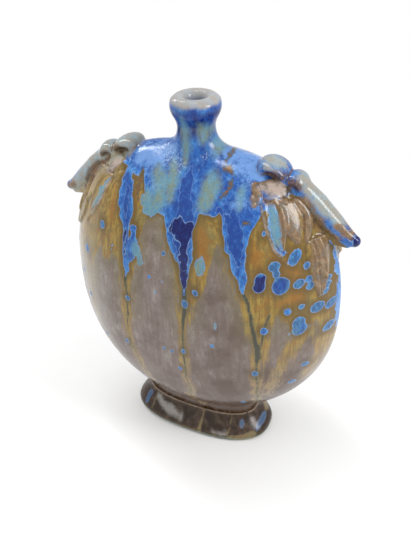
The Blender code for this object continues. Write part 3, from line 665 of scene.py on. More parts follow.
# Bare warm clay colours on the sprigs: pink plates, and legs and wings of orange-brown
BLUSHES = (
    ((36, 167, 1.6), (41, 166, 2.2), (45, 164, 2.0)),
    ((-36, 166, 1.4), (-40, 164, 2.2), (-43, 162, 1.4)),
    ((38, 160, 0.8), (43, 150, 0.8), (49, 142, 0.8)),
    ((-38, 160, 0.8), (-43, 150, 0.8), (-49, 142, 0.8)),
)
SIENNAS = (
    ((33, 168, 1.4), (35, 164, 2.2), (36, 160, 1.4)),
    ((39, 162.5, 1.0), (46, 161, 1.4), (50, 158, 2)),
    ((48, 157, 2.6), (52, 150, 3.4), (55, 145, 1.8)),
    ((50, 160, 1.4), (56, 155, 2.2), (58, 150, 1.6), (58, 144, 1.4)),
    ((62, 144, 2.4), (65, 134, 3.2), (67, 122, 2.2), (67, 117, 1.0)),
    ((52, 162, 1.0), (58, 156, 1.6), (64, 148, 1.4), (70, 142, 1.0)),
    ((-50, 161, 1.6), (-56, 154, 2.4), (-60, 149, 1.6), (-58, 143, 1.4)),
    ((-46, 164, 1.2), (-52, 160, 1.6), (-62, 150, 1.2)),
    ((-72, 145, 2.0), (-75, 142, 1.6)),
    ((69, 149, 1.8), (74, 144.5, 1.6)),
)

# The chains that colour the vase, by the name of their layer, and how softly each set joins, in millimetres
MARKS = {
    "haze": (HAZES, 2.5), "deep": (DEEPS, 1.5), "pool": (POOLS, 1.0), "patch": (PATCHES, 1.6),
    "crack": (CRACKS, 0.6), "ember": (EMBERS, 2.5), "frost_and_highlight": (FROST_AND_HIGHLIGHT, 2.0), "veil": (VEILS, 2.0),
    "hollow": (HOLLOWS, 1.0), "blush": (BLUSHES, 1.0), "sienna": (SIENNAS, 1.0), "trail": (TRAILS, 0.6),
    "foot_drop": (FOOT_DROPS, 0.5), "foot_streak": (FOOT_STREAKS, 0.5), "foot_painted_highlight": (FOOT_PAINTED_HIGHLIGHTS, 1.5),
}
RUN_BLEND = 1.0
STREAK_BLEND = 1.0
POUR_BLEND = 1.6
PANEL_BLEND = 1.5
DROP_STRETCH = 0.80
POUR_SLOPE = 0.85
POUR_LIMIT = 8
PANEL_LIMIT = 12
TRAIL_BORDER = 1.9
POUR_BORDER = 1.2
OUTSIDE = -20.0

# How the marks stray from their places, in millimetres: little in front, and more and more at the back
BACK_RANGE = (-2, 14)
FRONT_STRAY = 0.8
BACK_STRAY = 8.0
UP_STRAY_SHARE = 1.5
STRAY_SIZE = 24
BACK_EDGE_STRAY = 4
EDGE_STRAY_SIZE = 9
RIPPLE = 0.5
RIPPLE_SIZE = 5
UP_RIPPLE = 0.8
UP_RIPPLE_SIZE = 7

# Numbers that scatter the noise's values
SEED_STEP = 17.3
HASH_WAVES = (127.1, 311.7, 74.7)
HASH_SCALE = 43758.5453

# Relief of the run glaze over the ground in metres, and the depths in millimetres over which it rises
RUN_RELIEF = 0.00016
RUN_RISE = (-0.4, 1.4)
POOL_RELIEF = 0.00010
POOL_RISE = (-0.5, 1.5)


def coverage(x, z, chains, blend):
    """How deep each point lies inside a set of chains, in millimetres, and below zero outside them."""
    deepest = np.full(x.shape, OUTSIDE)
    for chain in chains:
        for (x1, z1, r1), (x2, z2, r2) in zip(chain, chain[1:]):
            length = max((x2 - x1) ** 2 + (z2 - z1) ** 2, TINY)
            place = np.clip(((x - x1) * (x2 - x1) + (z - z1) * (z2 - z1)) / length, 0, 1)
            away = np.hypot(x - x1 - (x2 - x1) * place, z - z1 - (z2 - z1) * place)
            deepest = smooth_max(deepest, r1 + (r2 - r1) * place - away, blend)
    return deepest


def swell(points, size, seed):
    """Smooth noise from -1 to 1 at points, with lumps of a size in millimetres."""
    place = points / size + seed * SEED_STEP
    cell = np.floor(place)
    part = place - cell
    part = part * part * (3 - 2 * part)
    total = np.zeros(len(points))
    for corner in range(8):
        step = np.array([(corner >> axis) & 1 for axis in range(3)])
        value = np.sin((cell + step) @ np.array(HASH_WAVES)) * HASH_SCALE
        weight = np.prod(np.where(step, part, 1 - part), axis=1)
        total += (value - np.floor(value)) * weight
    return total * 2 - 1


def glaze_layers(points, crest, height):
    """The glaze's layers at points of a surface, by name, in millimetres."""
    place = points / MM
    x, y, z = place.T
    behind = ramp(y, *BACK_RANGE)
    wander = FRONT_STRAY + BACK_STRAY * behind
    x = x + swell(place, STRAY_SIZE, 1) * wander + swell(place, RIPPLE_SIZE, 2) * RIPPLE
    z = z + swell(place, STRAY_SIZE, 3) * wander * UP_STRAY_SHARE
    z = z + swell(place, UP_RIPPLE_SIZE, 4) * UP_RIPPLE
    layers = {name: coverage(x, z, chains, blend) for name, (chains, blend) in MARKS.items()}

    drops = np.full(x.shape, OUTSIDE)
    for across, up, radius in DROPS:
        drops = np.maximum(drops, radius - np.hypot(x - across, (z - up) * DROP_STRETCH))
    edge = np.interp(x, *zip(*POUR_EDGE)) + swell(place, EDGE_STRAY_SIZE, 5) * BACK_EDGE_STRAY * behind
    pour = np.minimum((z - edge) * POUR_SLOPE, POUR_LIMIT)
    pour = smooth_max(pour, coverage(x, z, RUNS, RUN_BLEND), POUR_BLEND)
    panel = np.minimum(np.interp(x, *zip(*PANEL_EDGE)) - z, PANEL_LIMIT)
    lines = np.maximum(layers["trail"], coverage(x, z, STREAKS, STREAK_BLEND))
    panel = smooth_min(panel, -TRAIL_BORDER - lines, PANEL_BLEND)
    panel = smooth_min(panel, -POUR_BORDER - pour, PANEL_BLEND)
    return layers | {"pour": pour, "drop": drops, "panel": panel, "crest": crest, "height": height / MM}


def glaze_relief(layers):
    """How far the run glaze stands over the ground, in metres: thicker runs have a rounded, raised edge."""
    pour = ramp(np.maximum(layers["pour"], layers["drop"]), *RUN_RISE) * RUN_RELIEF
    return pour + ramp(layers["pool"], *POOL_RISE) * POOL_RELIEF


def mesh_piece(name, field, net, *nodes, slot="body"):
    """A smooth mesh that rides on the root, stands for CAD nodes, and has the glaze's layers and relief."""
    points, quads = net
    gradient = slope(field, points, CREST_STEP)
    normals = gradient / np.maximum(np.linalg.norm(gradient, axis=1), NEARLY_NOTHING)[:, None]
    around = np.zeros(len(points))
    for axis in range(3):
        for sign in (-1, 1):
            beside = points.copy()
            beside[:, axis] += sign * CREST_STEP
            around += field(*beside.T)
    crest = np.clip(around / CREST_STEP ** 2 * MM, -CREST_LIMIT, CREST_LIMIT)
    layers = glaze_layers(points, crest, body_field(*points.T))
    points = points + normals * glaze_relief(layers)[:, None]
    mesh = bpy.data.meshes.new(name)
    mesh.from_pydata(points.tolist(), [], quads.tolist())
    mesh.shade_smooth()
    for layer, values in layers.items():
        mesh.attributes.new(layer, "FLOAT", "POINT").data.foreach_set("value", values.astype(np.float32))
    mesh.materials.append(glaze_material(bpy.context.scene.vase_colours))
    piece = bpy.data.objects.new(name, mesh)
    bpy.context.scene.collection.objects.link(piece)
    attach(piece, "root")
    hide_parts(*nodes)
    return piece


class Brush:
    """Adds nodes to a material's tree and joins them."""

    def __init__(self, material):
        material.use_nodes = True
        self.tree = material.node_tree
        self.shader = self.tree.nodes["Principled BSDF"]
        self.place = self.add("ShaderNodeTexCoord").outputs["Object"]

    def join(self, value, socket):
        """Gives a socket a link from another socket, or a value of its own."""
        if isinstance(value, bpy.types.NodeSocket):
            self.tree.links.new(value, socket)
        elif socket.type == "RGBA" and len(value) == 3:
            socket.default_value = (*value, 1)
        else:
            socket.default_value = value

    def add(self, kind, sockets=None, **settings):
        """A node with its settings made and its sockets joined."""
        node = self.tree.nodes.new(kind)
        for name, value in settings.items():
            setattr(node, name, value)
        for name, value in (sockets or {}).items():
            self.join(value, node.inputs[name])
        return node

    def layer(self, name):
        """A layer that is stored on the meshes."""
        return self.add("ShaderNodeAttribute", attribute_name=name).outputs["Fac"]

    def math(self, operation, *values):
        """An operation on numbers."""
        return self.add("ShaderNodeMath", dict(enumerate(values)), operation=operation).outputs[0]

    def vector(self, operation, *values):
        """The node of an operation on places."""
        return self.add("ShaderNodeVectorMath", dict(enumerate(values)), operation=operation)

    def times(self, first, *others):
        """The product of some values."""
        for other in others:
            first = self.math("MULTIPLY", first, other)
        return first

    def sum(self, value, *grains):
        """A value with grains from 0 to 1 added, each given with its amount and centred on 0."""
        for grain, amount in grains:
            value = self.math("MULTIPLY_ADD", self.math("SUBTRACT", grain, 0.5), amount, value)
        return value

    def away(self, value, middle):
        """How far a value lies from a middle one."""
        return self.math("ABSOLUTE", self.math("SUBTRACT", value, middle))

    def soft(self, value, low, high):
        """A smooth step from 0 at low to 1 at high."""
        sockets = {"Value": value, "From Min": low, "From Max": high}
        return self.add("ShaderNodeMapRange", sockets, interpolation_type="SMOOTHSTEP").outputs["Result"]

    def mix(self, share, first, second):
        """The first colour at a share of 0, and the second at 1."""
        node = self.add("ShaderNodeMix", data_type="RGBA")
        self.join(share, node.inputs[0])
        self.join(first, node.inputs[6])
        self.join(second, node.inputs[7])
        return node.outputs[2]

    def coats(self, base, *coats):
        """A colour under coats of others. Each is (value, low, high, strength, colour), and comes in as its
        value goes from low to high."""
        for value, low, high, strength, coat in coats:
            share = self.soft(value, low, high)
            base = self.mix(share if strength == 1 else self.times(share, strength), base, coat)
        return base

    def stretched(self, stretch):
        """Places that draw a pattern out upwards."""
        if stretch == 1:
            return self.place
        return self.add("ShaderNodeMapping", {"Vector": self.place, "Scale": (1, 1, 1 / stretch)}).outputs[0]

    def grain(self, size, stretch=1, detail=3, roughness=0.6):
        """Noise from 0 to 1 with lumps of a size in millimetres, drawn out upwards by stretch."""
        sockets = {"Vector": self.stretched(stretch), "Scale": 1 / (size * MM), "Detail": detail,
                   "Roughness": roughness}
        return self.add("ShaderNodeTexNoise", sockets).outputs["Fac"]

    def cells(self, size, stretch=1):
        """Distance to cells of a size in millimetres, as a share of that size."""
        sockets = {"Vector": self.stretched(stretch), "Scale": 1 / (size * MM)}
        return self.add("ShaderNodeTexVoronoi", sockets).outputs["Distance"]


# Heights on the vase, and distances across it and from its axis, in metres, between which a colour comes in
OCHRE_FADE_HEIGHTS = (0.110, 0.050)
PANEL_DEEP_HEIGHTS = (0.095, 0.030)
PANEL_TOP_HEIGHTS = (0.080, 0.115)
PANEL_DEEP_ACROSS = (-0.005, 0.035)
# Painted reflection on the left side of the body: the heights, places across and stray of its pale mauve
LEFT_REFLECTION_HEIGHTS = (0.138, 0.112)
LEFT_REFLECTION_ACROSS = (-0.028, -0.062)
LEFT_REFLECTION_STRAY = 0.030
FOOT_COLOUR_HEIGHTS = (0.0205, 0.0165)
FOOT_COLOUR_STRAY = 0.004
TOE_PALE_HEIGHT = 0.0022
TOE_PALE_WIDTHS = (0.0010, 0.0002)
# Painted shade under the lip: the heights over which it comes in below and goes out above
LIP_SHADE_LOW_HEIGHTS = (0.180, 0.188)
LIP_SHADE_HIGH_HEIGHTS = (0.1975, 0.1930)
RING_TOP_HEIGHTS = (0.176, 0.170)
LIP_HEIGHTS = (LIP_TOP - 0.0020, LIP_TOP + 0.0002)
LIP_STRAY = 0.0030
THROAT_REACHES = (0.0062, 0.0050)
THROAT_HEIGHTS = (0.160, 0.165)

# Gloss, and the relief of the glaze's fine lumps and crystals
BASE_ROUGHNESS = 0.12
GLOSS_LEVEL = 0.4
BUMP_STRENGTH = 0.18
BUMP_DISTANCE = 0.00025


class Glaze(Brush):
    """Paints the poured glaze over its ground, by the layers stored on the meshes."""

    def __init__(self, material, colours):
        super().__init__(material)
        self.colours = colours
        self.fine = self.grain(1.1, detail=4)
        self.lumpy = self.grain(4, detail=4)
        self.broad = self.grain(13)
        self.streak = self.grain(1.7, stretch=12, detail=6)
        self.wash = self.grain(5, stretch=2.5, detail=6, roughness=0.65)
        self.speck = self.grain(0.7, stretch=1.6, detail=2)
        self.mottle = self.grain(1.8, stretch=1.8, detail=6, roughness=0.75)
        self.scallop = self.cells(3.6, stretch=1.3)
        places = self.add("ShaderNodeSeparateXYZ", {"Vector": self.place}).outputs
        self.across, self.up = places["X"], places["Z"]
        self.ember = self.sum(self.layer("ember"), (self.lumpy, 5))
        self.drop = self.sum(self.layer("drop"), (self.fine, 0.9))
        pour = self.sum(self.layer("pour"), (self.fine, 1.1), (self.scallop, -1.3))
        self.pour = self.math("MAXIMUM", pour, self.drop)
        self.patch = self.sum(self.layer("patch"), (self.streak, 4), (self.fine, 1.6))
        self.edge = self.math("MAXIMUM", self.pour, self.math("SUBTRACT", self.patch, 1.2))

    def ground(self):
        """The ochre ground with its mauve panels, the dark trails that run down it, and a painted reflection
        on the left side of the body.
        """
        colours = self.colours
        border = self.math("MAXIMUM", self.layer("pour"), self.layer("drop"))
        ochre = self.coats(
            colours.ochre,
            (self.streak, 0.38, 0.62, 1, colours.ochre_deep),
            (self.broad, 0.45, 0.70, 0.7, colours.olive),
            (self.lumpy, 0.50, 0.64, 0.5, colours.ember),
            (self.ember, -0.5, 3, 0.75, colours.ember),
            (self.up, *OCHRE_FADE_HEIGHTS, 0.45, colours.mauve_light),
            (self.speck, 0.55, 0.70, 0.35, colours.umber),
            (border, -3.6, -0.2, 0.85, colours.umber))
        mauve = self.coats(
            colours.mauve,
            (self.streak, 0.40, 0.66, 0.6, colours.mauve_light),
            (self.speck, 0.60, 0.74, 0.4, colours.mauve_light),
            (self.wash, 0.50, 0.68, 0.45, colours.mauve_pale_and_reflection))
        # The panels turn deeper brown in broad clouds, and more and more towards the bottom and towards the
        # right
        deeper = self.math("ADD", self.times(self.soft(self.broad, 0.42, 0.68), 0.5),
                           self.times(self.soft(self.up, *PANEL_DEEP_HEIGHTS), 0.6))
        deeper = self.math("MULTIPLY_ADD", self.soft(self.across, *PANEL_DEEP_ACROSS), 0.35, deeper)
        mauve = self.mix(self.math("MINIMUM", deeper, 1.0), mauve, colours.mauve_deep)
        top = self.times(self.soft(self.layer("panel"), 10, 0), self.soft(self.up, *PANEL_TOP_HEIGHTS), 0.45)
        mauve = self.mix(top, mauve, colours.olive)
        panel = self.sum(self.layer("panel"), (self.streak, 9), (self.fine, 2.5))
        ground = self.coats(ochre, (panel, -1.6, 1.8, 1, mauve))
        # Painted reflection: the left side of the body, most of all high up, is made paler with pale mauve,
        # as if it mirrored pale surroundings
        thin = self.math("MULTIPLY_ADD", self.soft(self.up, *LEFT_REFLECTION_HEIGHTS), 0.60, 0.15)
        rim = self.sum(self.across, (self.wash, LEFT_REFLECTION_STRAY))
        trail = self.sum(self.layer("trail"), (self.fine, 0.7))
        return self.coats(
            ground,
            (rim, *LEFT_REFLECTION_ACROSS, thin, colours.mauve_pale_and_reflection),
            (trail, -0.9, 0.1, 0.55, colours.olive),
            (trail, -0.15, 0.45, 0.9, colours.trail))

    def foot(self):
        """The dark brown foot with its drops, its streaks, its painted highlights and the pale line along the
        toe.
        """
        colours, fine, lumpy = self.colours, self.fine, self.lumpy
        drop = self.sum(self.layer("foot_drop"), (fine, 1.0))
        # Painted highlight: whitish patches of pale mauve where the foot would reflect the lamps
        painted_highlight = self.sum(self.layer("foot_painted_highlight"), (fine, 2.0), (lumpy, 4.0))
        streak = self.sum(self.layer("foot_streak"), (fine, 1.4), (lumpy, 1.6))
        return self.coats(
            colours.foot,
            (self.wash, 0.42, 0.68, 1, colours.foot_light),
            (painted_highlight, -1.0, 2.0, 0.7, colours.mauve_pale_and_reflection),
            (streak, -0.5, 0.9, 0.8, self.mix(self.wash, colours.khaki, colours.ember)),
            (drop, -0.8, 0.1, 0.35, colours.blue_pale),
            (drop, 0.0, 0.6, 0.8, colours.slate),
            (self.away(self.up, TOE_PALE_HEIGHT), *TOE_PALE_WIDTHS, 0.6, colours.khaki))

    def deep_blue(self, base, mottled):
        """The deep middles of the runs, the grey-green patches and the outlined navy pools over a blue."""
        colours, fine, wash, scallop = self.colours, self.fine, self.wash, self.scallop
        deep = self.sum(self.layer("deep"), (wash, 6), (fine, 1.0), (scallop, -2.5))
        pool = self.sum(self.layer("pool"), (fine, 1.0), (wash, 3.0), (scallop, -3.0))
        middle = self.coats(self.mix(self.times(mottled, 0.55), colours.blue_deep, colours.blue),
                            (wash, 0.47, 0.36, 0.7, colours.navy))
        celadon = self.coats(
            colours.khaki,
            (wash, 0.36, 0.60, 1, colours.celadon),
            (self.streak, 0.50, 0.60, 0.5, colours.teal),
            (self.mottle, 0.56, 0.66, 0.35, colours.blue_pale))
        navy = self.mix(self.times(mottled, 0.6), colours.navy, colours.blue_deep)
        blue = self.coats(
            base,
            (deep, -1.0, 1.5, 0.9, middle),
            (self.patch, -2.4, 1.8, 0.9, celadon),
            (pool, -0.5, 0.3, 1, navy))
        rings = self.math("MAXIMUM", self.soft(self.away(pool, 0), 0.34, 0.08),
                          self.times(self.soft(self.away(deep, 0.4), 0.35, 0.05), 0.5))
        rings = self.times(rings, self.soft(self.pour, 0.6, 1.2), self.soft(self.up, *RING_TOP_HEIGHTS),
                           self.soft(self.drop, 0.3, -0.1), 0.7)
        return self.mix(rings, blue, colours.blue_pale)

    def blue(self):
        """The poured blue glaze: pale at its edge, mottled, with navy painted as shade under the lip, and
        deep in its pools.
        """
        colours, mottle, streak, wash = self.colours, self.mottle, self.streak, self.wash
        blue = self.coats(
            colours.blue_light,
            (self.sum(self.pour, (self.lumpy, 5)), 0.3, 2.0, 1, colours.blue),
            (wash, 0.50, 0.64, 0.8, colours.blue_light),
            (wash, 0.48, 0.38, 0.7, colours.blue_deep),
            (mottle, 0.52, 0.40, 0.6, colours.blue_deep),
            (streak, 0.48, 0.36, 0.6, colours.blue_deep),
            (streak, 0.56, 0.66, 0.35, colours.teal),
            (mottle, 0.55, 0.68, 0.4, colours.blue_pale),
            (self.sum(self.layer("haze"), (wash, 14), (mottle, 9)), -1.0, 4.0, 0.8, colours.haze))
        # Painted shade: a navy band round the neck just under the lip, where the lip shades it
        collar = self.times(self.soft(self.up, *LIP_SHADE_LOW_HEIGHTS), self.soft(self.up, *LIP_SHADE_HIGH_HEIGHTS),
                            self.math("MULTIPLY_ADD", self.soft(wash, 0.58, 0.42), 0.4, 0.6))
        blue = self.mix(collar, blue, colours.navy)
        dull = self.times(self.soft(self.sum(self.broad, (self.lumpy, 0.6)), 0.34, 0.48), 0.75)
        core = self.coats(colours.slate, (mottle, 0.46, 0.60, 1, colours.teal))
        blue = self.coats(blue, (self.drop, -0.1, 0.4, dull, core))
        mottled = self.math("MAXIMUM", self.soft(mottle, 0.50, 0.66), self.soft(streak, 0.54, 0.66))
        border = self.math("MULTIPLY_ADD", self.lumpy, 0.8, 0.35)
        return self.coats(self.deep_blue(blue, mottled), (self.edge, 0.50, 0.12, border, colours.blue_pale))

    def sprigs(self, surface):
        """The sprigs: grey veils, tan and orange brown legs and wings, pale crests and dark hollows."""
        colours, fine, lumpy = self.colours, self.fine, self.lumpy
        height, crest = self.layer("height"), self.layer("crest")
        raised = self.soft(height, 0.10, 0.45)
        pits = self.times(self.soft(lumpy, 0.38, 0.55), 0.5)
        sienna = self.coats(
            colours.tan,
            (lumpy, 0.36, 0.60, 1, colours.sienna),
            (self.cells(0.9), 0.45, 0.15, pits, colours.sienna_dark),
            (lumpy, 0.50, 0.62, 0.4, colours.veil_warm))
        grey = self.coats(colours.veil, (lumpy, 0.38, 0.60, 1, colours.veil_warm))
        pink = self.coats(colours.blush, (lumpy, 0.40, 0.65, 1, colours.tan))
        surface = self.coats(
            surface,
            (self.sum(self.layer("veil"), (lumpy, 6), (fine, 2.0)), -1.5, 2.5, 0.85, grey),
            (self.sum(self.layer("sienna"), (fine, 2.4), (lumpy, 3)), -0.8, 1.2, raised, sienna),
            (self.sum(self.layer("blush"), (fine, 1.6)), -0.5, 1.0, raised, pink),
            (self.sum(crest, (fine, 1.0)), 0.65, 1.9, self.times(raised, 0.5), colours.peach))
        dent = self.times(self.soft(self.sum(crest, (fine, 0.5)), -0.12, -0.7), self.soft(height, 0.0, 0.3))
        shade = self.times(self.soft(self.sum(self.layer("hollow"), (fine, 1.8)), -0.8, 0.8), raised)
        dark = self.coats(colours.sienna_dark, (fine, 0.40, 0.65, 1, colours.rust))
        return self.mix(self.times(self.math("MAXIMUM", dent, shade), 0.8), surface, dark)

    def lip(self, surface):
        """The grey and cream top of the lip, and the dull inside of the throat."""
        colours = self.colours
        lip = self.coats(
            colours.lip,
            (self.wash, 0.40, 0.60, 1, colours.lip_warm),
            (self.ember, 0.5, 2.5, 1, colours.peach))
        height = self.math("MULTIPLY_ADD", self.wash, LIP_STRAY, self.up)
        surface = self.coats(surface, (height, *LIP_HEIGHTS, 0.8, lip))
        reach = self.vector("ADD", self.place, (-NECK_X, 0, 0)).outputs[0]
        reach = self.vector("MULTIPLY", reach, (1, 1, 0)).outputs[0]
        reach = self.vector("LENGTH", reach).outputs["Value"]
        inside = self.times(self.soft(self.up, *THROAT_HEIGHTS), 0.8)
        return self.coats(surface, (reach, *THROAT_REACHES, inside, colours.throat))

    def paint(self):
        """Colours the surface from the ground up, and sets its gloss and its fine relief."""
        colours, fine, lumpy = self.colours, self.fine, self.lumpy
        low = self.math("MULTIPLY_ADD", lumpy, FOOT_COLOUR_STRAY, self.up)
        crack = self.sum(self.layer("crack"), (fine, 3.0), (lumpy, 4.0))
        # Crystals of frost; along the second frost chain they paint a highlight where the neck meets the
        # right shoulder
        crystal_and_highlight = self.times(self.soft(self.grain(0.8, stretch=1.5), 0.52, 0.62),
                             self.soft(self.sum(self.layer("frost_and_highlight"), (lumpy, 4)), -0.8, 1.6))
        surface = self.coats(
            self.ground(),
            (low, *FOOT_COLOUR_HEIGHTS, 1, self.foot()),
            (self.edge, -0.05, 0.25, 1, self.blue()),
            (crack, -0.7, 0.1, 0.8, colours.rust_dark),
            (crack, 0.0, 0.8, 0.9, colours.rust))
        surface = self.sprigs(self.mix(self.times(crystal_and_highlight, 0.6), surface, colours.frost_and_highlight))
        grit = self.grain(0.6, stretch=1.4, detail=4)
        surface = self.coats(surface, (grit, 0.45, 0.32, 0.4, colours.trail))
        self.join(self.lip(surface), self.shader.inputs["Base Color"])

        matt = BASE_ROUGHNESS
        dull = ((self.layer("frost_and_highlight"), -1, 1, 0.15), (self.layer("panel"), 0, 3, 0.12),
                (self.patch, -0.6, 0.9, 0.06))
        for value, low, high, amount in dull:
            matt = self.math("MULTIPLY_ADD", self.soft(value, low, high), amount, matt)
        self.join(matt, self.shader.inputs["Roughness"])
        self.join(GLOSS_LEVEL, self.shader.inputs["Specular IOR Level"])
        relief = self.math("MULTIPLY_ADD", lumpy, 0.6, self.math("MULTIPLY_ADD", crystal_and_highlight, 0.5, fine))
        sockets = {"Height": relief, "Strength": BUMP_STRENGTH, "Distance": BUMP_DISTANCE}
        self.join(self.add("ShaderNodeBump", sockets).outputs["Normal"], self.shader.inputs["Normal"])


def glaze_material(colours):
    """The glaze's material, made once and shared by all the pieces."""
    material = bpy.data.materials.get("poured_glaze")
    if not material:
        material = bpy.data.materials.new("poured_glaze")
        Glaze(material, colours).paint()
    return material


def metres(name, description, default, least):
    """A length that a user may change, in metres."""
    return FloatProperty(name=name, description=description, default=default, min=least, unit="LENGTH")


class VaseSizes(bpy.types.PropertyGroup):
    """Sizes of the neck, the foot and the insects."""
    waist_radius: metres("Neck Waist Radius", "Radius of the neck at its waist", 0.0087, 0.006)
    lip_radius: metres("Lip Radius", "Outer radius of the rolled lip", 0.01145, 0.008)
    lip_height: metres("Lip Height", "Height of the rolled lip", 0.0090, 0.004)
    lip_blend: metres("Lip Blend", "Size of the curve from the neck into its lip", 0.0050, 0.001)
    mouth_radius: metres("Mouth Radius", "Radius of the bore through the neck", 0.0043, 0.002)
    neck_blend: metres("Neck Blend", "Size of the curve from the neck into the body", 0.0090, 0.001)
    toe_height: metres("Toe Height", "Height at which the foot's toe starts to turn in", 0.0026, 0.001)
    foot_waist_height: metres("Foot Waist Height", "Height of the foot's waist", 0.0140, 0.006)
    foot_waist_length: metres("Foot Waist Half Length", "Half length of the foot's waist", 0.0335, 0.02)
    foot_waist_width: metres("Foot Waist Half Width", "Half width of the foot's waist", 0.0145, 0.01)
    foot_rim: metres("Foot Rim", "Thickness of the foot's wall", 0.0090, 0.003)
    foot_blend: metres("Foot Blend", "Size of the curve from the foot into the body", 0.0034, 0.001)
    abdomen_length: metres("Abdomen Length", "Length of each insect's abdomen", 0.0350, 0.02)
    abdomen_tilt: FloatProperty(name="Abdomen Tilt", description="Slope of each abdomen below level",
                                default=math.radians(43), min=math.radians(20), max=math.radians(60),
                                subtype="ANGLE")


def colour(name, description, default):
    """A colour that a user may change."""
    return FloatVectorProperty(name=name, description=description, subtype="COLOR", size=3, default=default,
                               min=0, max=1)


class VaseColours(bpy.types.PropertyGroup):
    """Colours of the glaze."""
    ochre: colour("Ochre", "The ground where it is thin and yellow", (0.38, 0.25, 0.05))
    ochre_deep: colour("Deep Ochre", "The darker streaks of the ochre ground", (0.20, 0.125, 0.030))
    olive: colour("Olive", "Broad cooler clouds in the ochre ground", (0.2, 0.17, 0.07))
    ember: colour("Ember", "The ground where it turned orange brown", (0.3, 0.13, 0.02))
    mauve: colour("Mauve", "The matt panels between the runs", (0.205, 0.155, 0.135))
    mauve_light: colour("Light Mauve", "Pale streaks and specks in the panels", (0.285, 0.24, 0.225))
    # Pale mauve also paints the reflection on the left side of the body and the highlights on the foot
    mauve_pale_and_reflection: colour("Pale Mauve", "Whitish hazes on the panels and at the left rim", (0.44, 0.42, 0.39))
    # Deep mauve also darkens the panels towards the bottom and towards the right
    mauve_deep: colour("Deep Mauve", "Brown clouds in the panels", (0.115, 0.075, 0.058))
    trail: colour("Trail", "The fine dark trails below the runs", (0.045, 0.05, 0.04))
    foot: colour("Foot Brown", "The ground on the foot", (0.032, 0.017, 0.010))
    foot_light: colour("Light Foot Brown", "The paler patches of the foot", (0.1, 0.064, 0.044))
    blue_pale: colour("Pale Blue", "The outline of the runs and drops", (0.22, 0.38, 0.68))
    blue_light: colour("Light Blue", "The thinner blue glaze", (0.055, 0.24, 0.6))
    blue: colour("Blue", "The blue glaze", (0.02, 0.12, 0.43))
    blue_deep: colour("Deep Blue", "The thicker blue glaze", (0.008, 0.045, 0.25))
    # Navy also paints the shade round the neck under the lip
    navy: colour("Navy", "The pools of the thickest glaze", (0.002, 0.006, 0.095))
    haze: colour("Haze", "Pale blue veils on the shoulders", (0.17, 0.33, 0.66))
    celadon: colour("Celadon", "Grey-green patches on the blue", (0.15, 0.30, 0.34))
    khaki: colour("Khaki", "Yellowish streaks in the grey-green patches", (0.20, 0.26, 0.17))
    teal: colour("Teal", "Bluish specks in the grey-green patches", (0.07, 0.22, 0.38))
    # Frost also paints a highlight where the neck meets the right shoulder
    frost_and_highlight: colour("Frost", "Fine pale crystals below the neck", (0.5, 0.62, 0.74))
    rust: colour("Rust", "Hot brown where the poured glaze broke", (0.2, 0.09, 0.022))
    rust_dark: colour("Dark Rust", "The border of the broken places", (0.07, 0.075, 0.055))
    sienna: colour("Sienna", "Orange brown legs and wings", (0.23, 0.115, 0.045))
    sienna_dark: colour("Dark Sienna", "The hollows of the sprigs", (0.06, 0.038, 0.02))
    tan: colour("Tan", "The paler ground of legs and wings", (0.17, 0.15, 0.12))
    blush: colour("Blush", "The pale pink plates", (0.42, 0.33, 0.28))
    peach: colour("Peach", "Crests of the sprigs where the glaze is thin", (0.52, 0.38, 0.25))
    lip: colour("Lip", "The grey top of the lip", (0.40, 0.42, 0.39))
    throat: colour("Throat", "The inside of the neck", (0.31, 0.32, 0.33))
    slate: colour("Slate", "The duller drops", (0.04, 0.10, 0.20))
    umber: colour("Umber", "The darker ground round runs and drops", (0.13, 0.08, 0.022))
    veil: colour("Veil", "Grey veils over the insects", (0.33, 0.40, 0.38))
    veil_warm: colour("Warm Veil", "Warmer clouds in the veils", (0.36, 0.33, 0.24))
    lip_warm: colour("Warm Lip", "The cream clouds of the lip", (0.42, 0.36, 0.26))


def rooted(alone, skin, blend):
    """A form that flows into the skin with a feathered edge, down to its root under the skin."""
    return np.maximum(smooth_min(alone, skin, blend) + FEATHER, -skin - ROOT_DEPTH)


class BUDVASE_OT_body(bpy.types.Operator):
    """Builds the glazed flask with its hollow and the bore's start"""
    bl_idname = "budvase.body"
    bl_label = "Body"

    def execute(self, context):
        sizes = context.scene.vase_sizes

        def wall(x, y, z):
            cavity = body_field(x, y, z, -WALL)
            bore = np.maximum(np.hypot(x - NECK_X, y) - sizes.mouth_radius - BORE_CLEARANCE, CENTRE - z)
            return np.maximum(np.maximum(body_field(x, y, z), -cavity), -bore)

        low = (SHELL_LOW.x - BODY_CELL, 0, SHELL_LOW.z - BODY_CELL)
        high = (SHELL_HIGH.x + BODY_CELL, HALF_DEPTH + BODY_CELL, SHELL_HIGH.z + BODY_CELL)
        net = net_piece(wall, low, high, BODY_CELL)
        mesh_piece("glazed_body", wall, net, "body_front_shell", "body_back_shell")
        return {"FINISHED"}


class BUDVASE_OT_neck(bpy.types.Operator):
    """Builds the neck with its rolled lip, flowing into the shoulder"""
    bl_idname = "budvase.neck"
    bl_label = "Neck and Lip"

    def execute(self, context):
        sizes = context.scene.vase_sizes

        def neck(x, y, z):
            skin = body_field(x, y, z)
            alone = neck_field(sizes, x, y, z)
            bore = np.hypot(x - NECK_X, y) - sizes.mouth_radius
            form = smooth_max(rooted(alone, skin, sizes.neck_blend), -bore, MOUTH_ROUNDING)
            return np.maximum(form, alone - sizes.neck_blend)

        reach = sizes.waist_radius + sizes.neck_blend * 2
        low = (NECK_X - reach, 0, SHELL_HIGH.z - NECK_NET_DEPTH)
        high = (NECK_X + reach, reach, LIP_TOP + NECK_CELL * 2)
        net = net_piece(neck, low, high, NECK_CELL)
        mesh_piece("glazed_neck", neck, net, "neck_and_lip", slot="neck")
        return {"FINISHED"}


